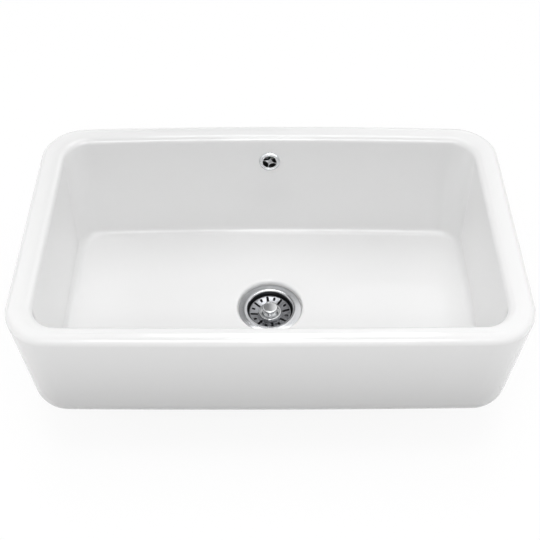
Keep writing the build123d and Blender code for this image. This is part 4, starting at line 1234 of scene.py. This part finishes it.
stud_boss = rod(STUD_BOSS_R, 0, BAR_T)
stud_hole = rod(STUD_HOLE_R, -1 * MM, BAR_T + 1 * MM)
combine(overflow_elbow, "UNION", placed("cross_bar", bar, at=OVERFLOW_AT, axis=away))
combine(overflow_elbow, "UNION", placed("stud_boss", stud_boss, at=OVERFLOW_AT, axis=away))
combine(overflow_elbow, "DIFFERENCE", placed("stud_hole", stud_hole, at=OVERFLOW_AT, axis=away))
settle(overflow_elbow, moulded_white, "sink", "overflow_elbow", slot="white_plastic")

# %% Pipe down the back and under the base
inlet_y = DRAIN[1] + SOCKET_REACH
pipe_line = bent_line(
    (PIPE_Y, socket_end[1] + SOCKET_DEPTH), (PIPE_Y, INLET_Z), (inlet_y - SOCKET_DEPTH, INLET_Z), PIPE_BEND
)
overflow_pipe = tube("overflow_pipe_bent", pipe_line, PIPE_R, PIPE_BORE_R)
settle(overflow_pipe, moulded_white, "sink", "overflow_pipe", slot="white_plastic")

# %% [markdown]
# ## Compression nuts
# Each end of the pipe is held by a nut that closes over a cone seal. Its twelve grips are moulded
# ribs, so the nut's radius rises and falls with the angle: base + rib * ((1 + cos 12a) / 2) ** 4,
# fading out at both ends. That is again one closed grid.

# %% Compression nuts
NUT_R, NUT_RIB, NUT_RIBS = 17 * MM, 1.2 * MM, 12
NUT_LOW, NUT_LIP, NUT_GRIP = -7 * MM, -4 * MM, 11 * MM
RIB_COLUMNS = NUT_RIBS * 12
GRIP_ROWS = 8


def compression_nut(name, node, place, axis):
    """A ribbed nut about the axis; the pipe comes from below and the socket ends at height 0."""
    root_r, thread_r, pipe_r = NUT_R - NUT_RIB, SOCKET_R + PIPE_FIT, PIPE_R + 0.3 * MM
    grip_z = np.linspace(NUT_LOW + 1.2 * MM, NUT_GRIP - 0.9 * MM, GRIP_ROWS)
    grip = np.stack([np.full(GRIP_ROWS, root_r), grip_z], -1)
    bore = fillet(
        (root_r, NUT_GRIP, 0.8 * MM), (thread_r, NUT_GRIP, 0.4 * MM), (thread_r, NUT_LIP),
        (pipe_r, NUT_LIP), (pipe_r, NUT_LOW, 0.4 * MM), (root_r, NUT_LOW, 1.0 * MM),
    )
    rows = lathe(np.concatenate([grip, bore]), RIB_COLUMNS)
    angle = np.arange(RIB_COLUMNS) * 2 * pi / RIB_COLUMNS
    rib = NUT_RIB * ((1 + np.cos(NUT_RIBS * angle)) / 2) ** 4
    from_end = np.minimum(np.arange(GRIP_ROWS), np.arange(GRIP_ROWS)[::-1])
    fade = np.minimum(1, from_end / 1.5)[:, None]
    rows[:GRIP_ROWS, :, :2] *= (1 + fade * rib / root_r)[..., None]
    return settle(placed(name, rows, at=place, axis=axis), moulded_white, "sink", node, slot="white_plastic")


compression_nut("overflow_upper_nut", "overflow_top_nut", (0, *socket_end), (0, 0, 1))
compression_nut("overflow_lower_nut", "overflow_bottom_nut", (0, inlet_y, INLET_Z), (0, -1, 0))

# %% [markdown]
# ## The rest of the model
# Screws, washers, seals and the basket's post are plain turned pieces, mostly out of sight, and the
# engineering model's own shapes are right. They only need their finishes, which the record names.

# %% Finishes of the pieces that stay
FINISHES = {
    "stainless_pressed": pressed_stainless, "stainless_turned": turned_stainless,
    "chrome_trim": chrome_plate, "brass": turned_brass, "black_rubber": black_rubber,
    "white_foam": white_foam, "grey_plastic": grey_acetal, "white_plastic": moulded_white,
    "fireclay": glazed_fireclay,
}
for subpart in frame["record"]["subparts"]:
    for spot in frame["nodes"][subpart["node"]].material_slots:
        spot.material = FINISHES[subpart["material_slot"]]

# %% [markdown]
# ## Floor and background
# The picture is a cut-out on white. Throwing more light at a white floor would burn the sink out
# first, so floor and world are white only for rays that come from the camera, a reflection or a
# refraction. The floor mixes in a little real diffuse white, which keeps the sink's soft shadow.
# The light that the floor throws on to the sink is set apart from that look: none from within 30 cm
# of the sink, much from a band up to 90 cm away, and little from beyond it. So the outer walls get
# light from low down in front of them, but not from right below, and fade towards their feet.

# %% Rays, sheets, empty materials and ramps
def seen_directly(tree):
    """1 for rays from the camera, a mirror or a glass, and 0 for the light that is scattered."""
    rays = add(tree, "ShaderNodeLightPath")
    either = add(
        tree, "ShaderNodeMath", links={0: rays.outputs["Is Camera Ray"], 1: rays.outputs["Is Glossy Ray"]},
        operation="MAXIMUM",
    )
    return add(
        tree, "ShaderNodeMath", links={0: either.outputs[0], 1: rays.outputs["Is Transmission Ray"]},
        operation="MAXIMUM",
    ).outputs[0]


def level_sheet(name, half, z):
    """A level square of twice that width, with its middle above or below the sink's."""
    corners = np.array([[(-1, -1, 0), (1, -1, 0)], [(-1, 1, 0), (1, 1, 0)]]) * half + (0, 0, z)
    return mesh_object(name, *grid(corners, wrap_columns=False), closed=False)


def bare_material(name):
    """A new material with no nodes yet, and its tree."""
    material = bpy.data.materials.new(name)
    material.use_nodes = True
    material.node_tree.nodes.clear()
    return material, material.node_tree


def set_stops(ramp, stops):
    """Grey stops of a colour ramp, as (place, level); a new ramp comes with two."""
    for number, (place, level) in enumerate(stops):
        stop = ramp.elements[number] if number < 2 else ramp.elements.new(place)
        stop.position = place
        stop.color = (level, level, level, 1)


print("helpers for the studio are ready")

# %% Floor
FLOOR_HALF = 6.0
FLOOR_GAP = 0.5 * MM
SHADOW_SHARE = 0.1               # how much of the floor's look is lit, and so keeps a shadow
GLOW = 2.2                       # brightness of the glowing band for scattered light
GLOW_REACH = 2.0                 # distance from the sink at which the ramp below ends
GLOW_STEPS = ((0.15, 0.0), (0.2, 1.0), (0.45, 1.0), (0.5, 0.18))  # share of the reach, share of glow
stage_z = cad_low.z - FLOOR_GAP
studio_floor = level_sheet("studio_floor", FLOOR_HALF, stage_z)
studio_white, tree = bare_material("studio_white")
seen = seen_directly(tree)
white = add(tree, "ShaderNodeBsdfDiffuse", {"Color": linear("FFFFFF")})
glow = add(tree, "ShaderNodeEmission", {"Color": linear("FFFFFF"), "Strength": 1.0})
looks = add(tree, "ShaderNodeMixShader", {0: 1 - SHADOW_SHARE}, {1: white.outputs[0], 2: glow.outputs[0]})
place = add(tree, "ShaderNodeTexCoord").outputs["Object"]
folded = add(tree, "ShaderNodeVectorMath", links={0: place}, operation="ABSOLUTE")
beyond = add(
    tree, "ShaderNodeVectorMath", {1: (WIDTH / 2, DEPTH / 2, 1)}, {0: folded.outputs[0]},
    operation="SUBTRACT",
)
outside = add(tree, "ShaderNodeVectorMath", {1: (0, 0, 0)}, {0: beyond.outputs[0]}, operation="MAXIMUM")
gap = add(tree, "ShaderNodeVectorMath", links={0: outside.outputs[0]}, operation="LENGTH")
share = add(tree, "ShaderNodeMath", {1: 1 / GLOW_REACH}, {0: gap.outputs["Value"]}, operation="MULTIPLY")
band = add(tree, "ShaderNodeValToRGB", links={0: share.outputs[0]})
set_stops(band.color_ramp, GLOW_STEPS)
strength = add(tree, "ShaderNodeMath", {1: GLOW}, {0: band.outputs[0]}, operation="MULTIPLY")
spill = add(tree, "ShaderNodeEmission", {"Color": linear("FFFFFF")}, {"Strength": strength.outputs[0]})
mixed = add(tree, "ShaderNodeMixShader", links={0: seen, 1: spill.outputs[0], 2: looks.outputs[0]})
add(tree, "ShaderNodeOutputMaterial", links={0: mixed.outputs[0]})
studio_floor.data.materials.append(studio_white)
print("floor at", round(stage_z, 4), "metres")

# %% [markdown]
# ## Studio light
# The glaze shows a thin bright line low on the back wall and small glints in the far corners, the
# rim and the floor are brightest, and the apron fades downwards: a wide soft light overhead. The
# scattered light comes mostly from the world as a few soft lobes, each strength * max(0, cosine to
# its axis) ** sharpness, because that is smooth and free of noise. One softbox in front adds to it.
# Three more, and a card for a ceiling, are there for the glossy reflections alone: they draw the
# bright line and the shine on the steel. The card is dark a little to the left of the sink's middle
# and bright further out, most of all on the right, which gives round steel its dark and light sides.

# %% World
LOBES = (                        # axis, sharpness, strength
    ((0, 0, 1), 400, 34),
    ((0, 0.5, 0.87), 30, 3.6),
    ((0, -0.87, 0.5), 10, 0.3),
    ((-0.87, 0, 0.5), 10, 1.7),
    ((0.87, 0, 0.5), 10, 1.7),
)
WORLD_BASE = 0.29
world = bpy.data.worlds.new("studio")
bpy.context.scene.world = world
world.use_nodes = True
tree = world.node_tree
tree.nodes.clear()
direction = add(tree, "ShaderNodeTexCoord").outputs["Generated"]
total = add(tree, "ShaderNodeValue").outputs[0]
total.default_value = WORLD_BASE
for axis, sharpness, strength in LOBES:
    unit = Vector(axis).normalized()
    facing = add(tree, "ShaderNodeVectorMath", {1: unit}, {0: direction}, operation="DOT_PRODUCT")
    above = add(tree, "ShaderNodeMath", {1: 0.0}, {0: facing.outputs["Value"]}, operation="MAXIMUM")
    lobe = add(tree, "ShaderNodeMath", {1: sharpness}, {0: above.outputs[0]}, operation="POWER")
    raised = add(
        tree, "ShaderNodeMath", {1: strength}, {0: lobe.outputs[0], 2: total}, operation="MULTIPLY_ADD"
    )
    total = raised.outputs[0]
sky = add(tree, "ShaderNodeBackground", {"Color": linear("FFFFFF")}, {"Strength": total})
white = add(tree, "ShaderNodeBackground", {"Color": linear("FFFFFF"), "Strength": 1.0})
mixed = add(
    tree, "ShaderNodeMixShader", links={0: seen_directly(tree), 1: sky.outputs[0], 2: white.outputs[0]}
)
add(tree, "ShaderNodeOutputWorld", links={0: mixed.outputs[0]})
bpy.context.scene.view_settings.view_transform = "Standard"
print(len(LOBES), "lobes of light in the world")

# %% Softboxes
AIM = Vector((0, 0, 0.1))
SOFTBOXES = (                    # place, width, depth, brightness, whether it also lights matt surfaces
    ((0, -0.9, 1.1), 1.4, 0.3, 2.9, True),
    ((0, -1.15, 1.6), 1.25, 0.4, 6.5, False),
    ((0, -0.7, 1.6), 0.28, 1.8, 2.2, False),
    ((0.1, 0.72, 2.5), 1.2, 0.6, 5.0, False),
)
for number, (at, width, depth, brightness, scattered) in enumerate(SOFTBOXES):
    light = bpy.data.objects.new(f"softbox_{number}", bpy.data.lights.new(f"softbox_{number}", "AREA"))
    bpy.context.scene.collection.objects.link(light)
    light.location = at
    light.rotation_euler = (AIM - Vector(at)).to_track_quat("-Z", "Y").to_euler()
    light.data.shape = "RECTANGLE"
    light.data.size, light.data.size_y = width, depth
    light.data.energy = brightness * pi * width * depth
    light.visible_camera = False
    light.visible_diffuse = scattered
print(len(SOFTBOXES), "softboxes")

# %% Ceiling card
CEILING_Z, CEILING_HALF = 2.6, 7.0
CEILING_REACH = 1.5              # half the width over which the card's brightness changes
CEILING_STEPS = ((-1.4, 1.2), (-0.7, 0.27), (-0.1, 0.32), (0.35, 1.0), (1.3, 1.7))  # x, brightness
ceiling_card = level_sheet("ceiling_card", CEILING_HALF, CEILING_Z)
ceiling_card.visible_diffuse = False
ceiling_card.visible_shadow = False
ceiling_card.visible_camera = False
ceiling_grey, tree = bare_material("ceiling_grey")
place = add(tree, "ShaderNodeTexCoord").outputs["Object"]
across = add(tree, "ShaderNodeSeparateXYZ", links={0: place}).outputs["X"]
spread = add(
    tree, "ShaderNodeMapRange", {"From Min": -CEILING_REACH, "From Max": CEILING_REACH}, {"Value": across}
)
ramp = add(tree, "ShaderNodeValToRGB", links={0: spread.outputs[0]})
brightest = max(level for _, level in CEILING_STEPS)
stops = [(0.5 + x / (2 * CEILING_REACH), level / brightest) for x, level in CEILING_STEPS]
set_stops(ramp.color_ramp, stops)
dim = add(tree, "ShaderNodeEmission", {"Strength": brightest}, {"Color": ramp.outputs[0]})
add(tree, "ShaderNodeOutputMaterial", links={0: dim.outputs[0]})
ceiling_card.data.materials.append(ceiling_grey)
print("ceiling card from", min(level for _, level in CEILING_STEPS), "to", brightest, "in brightness")
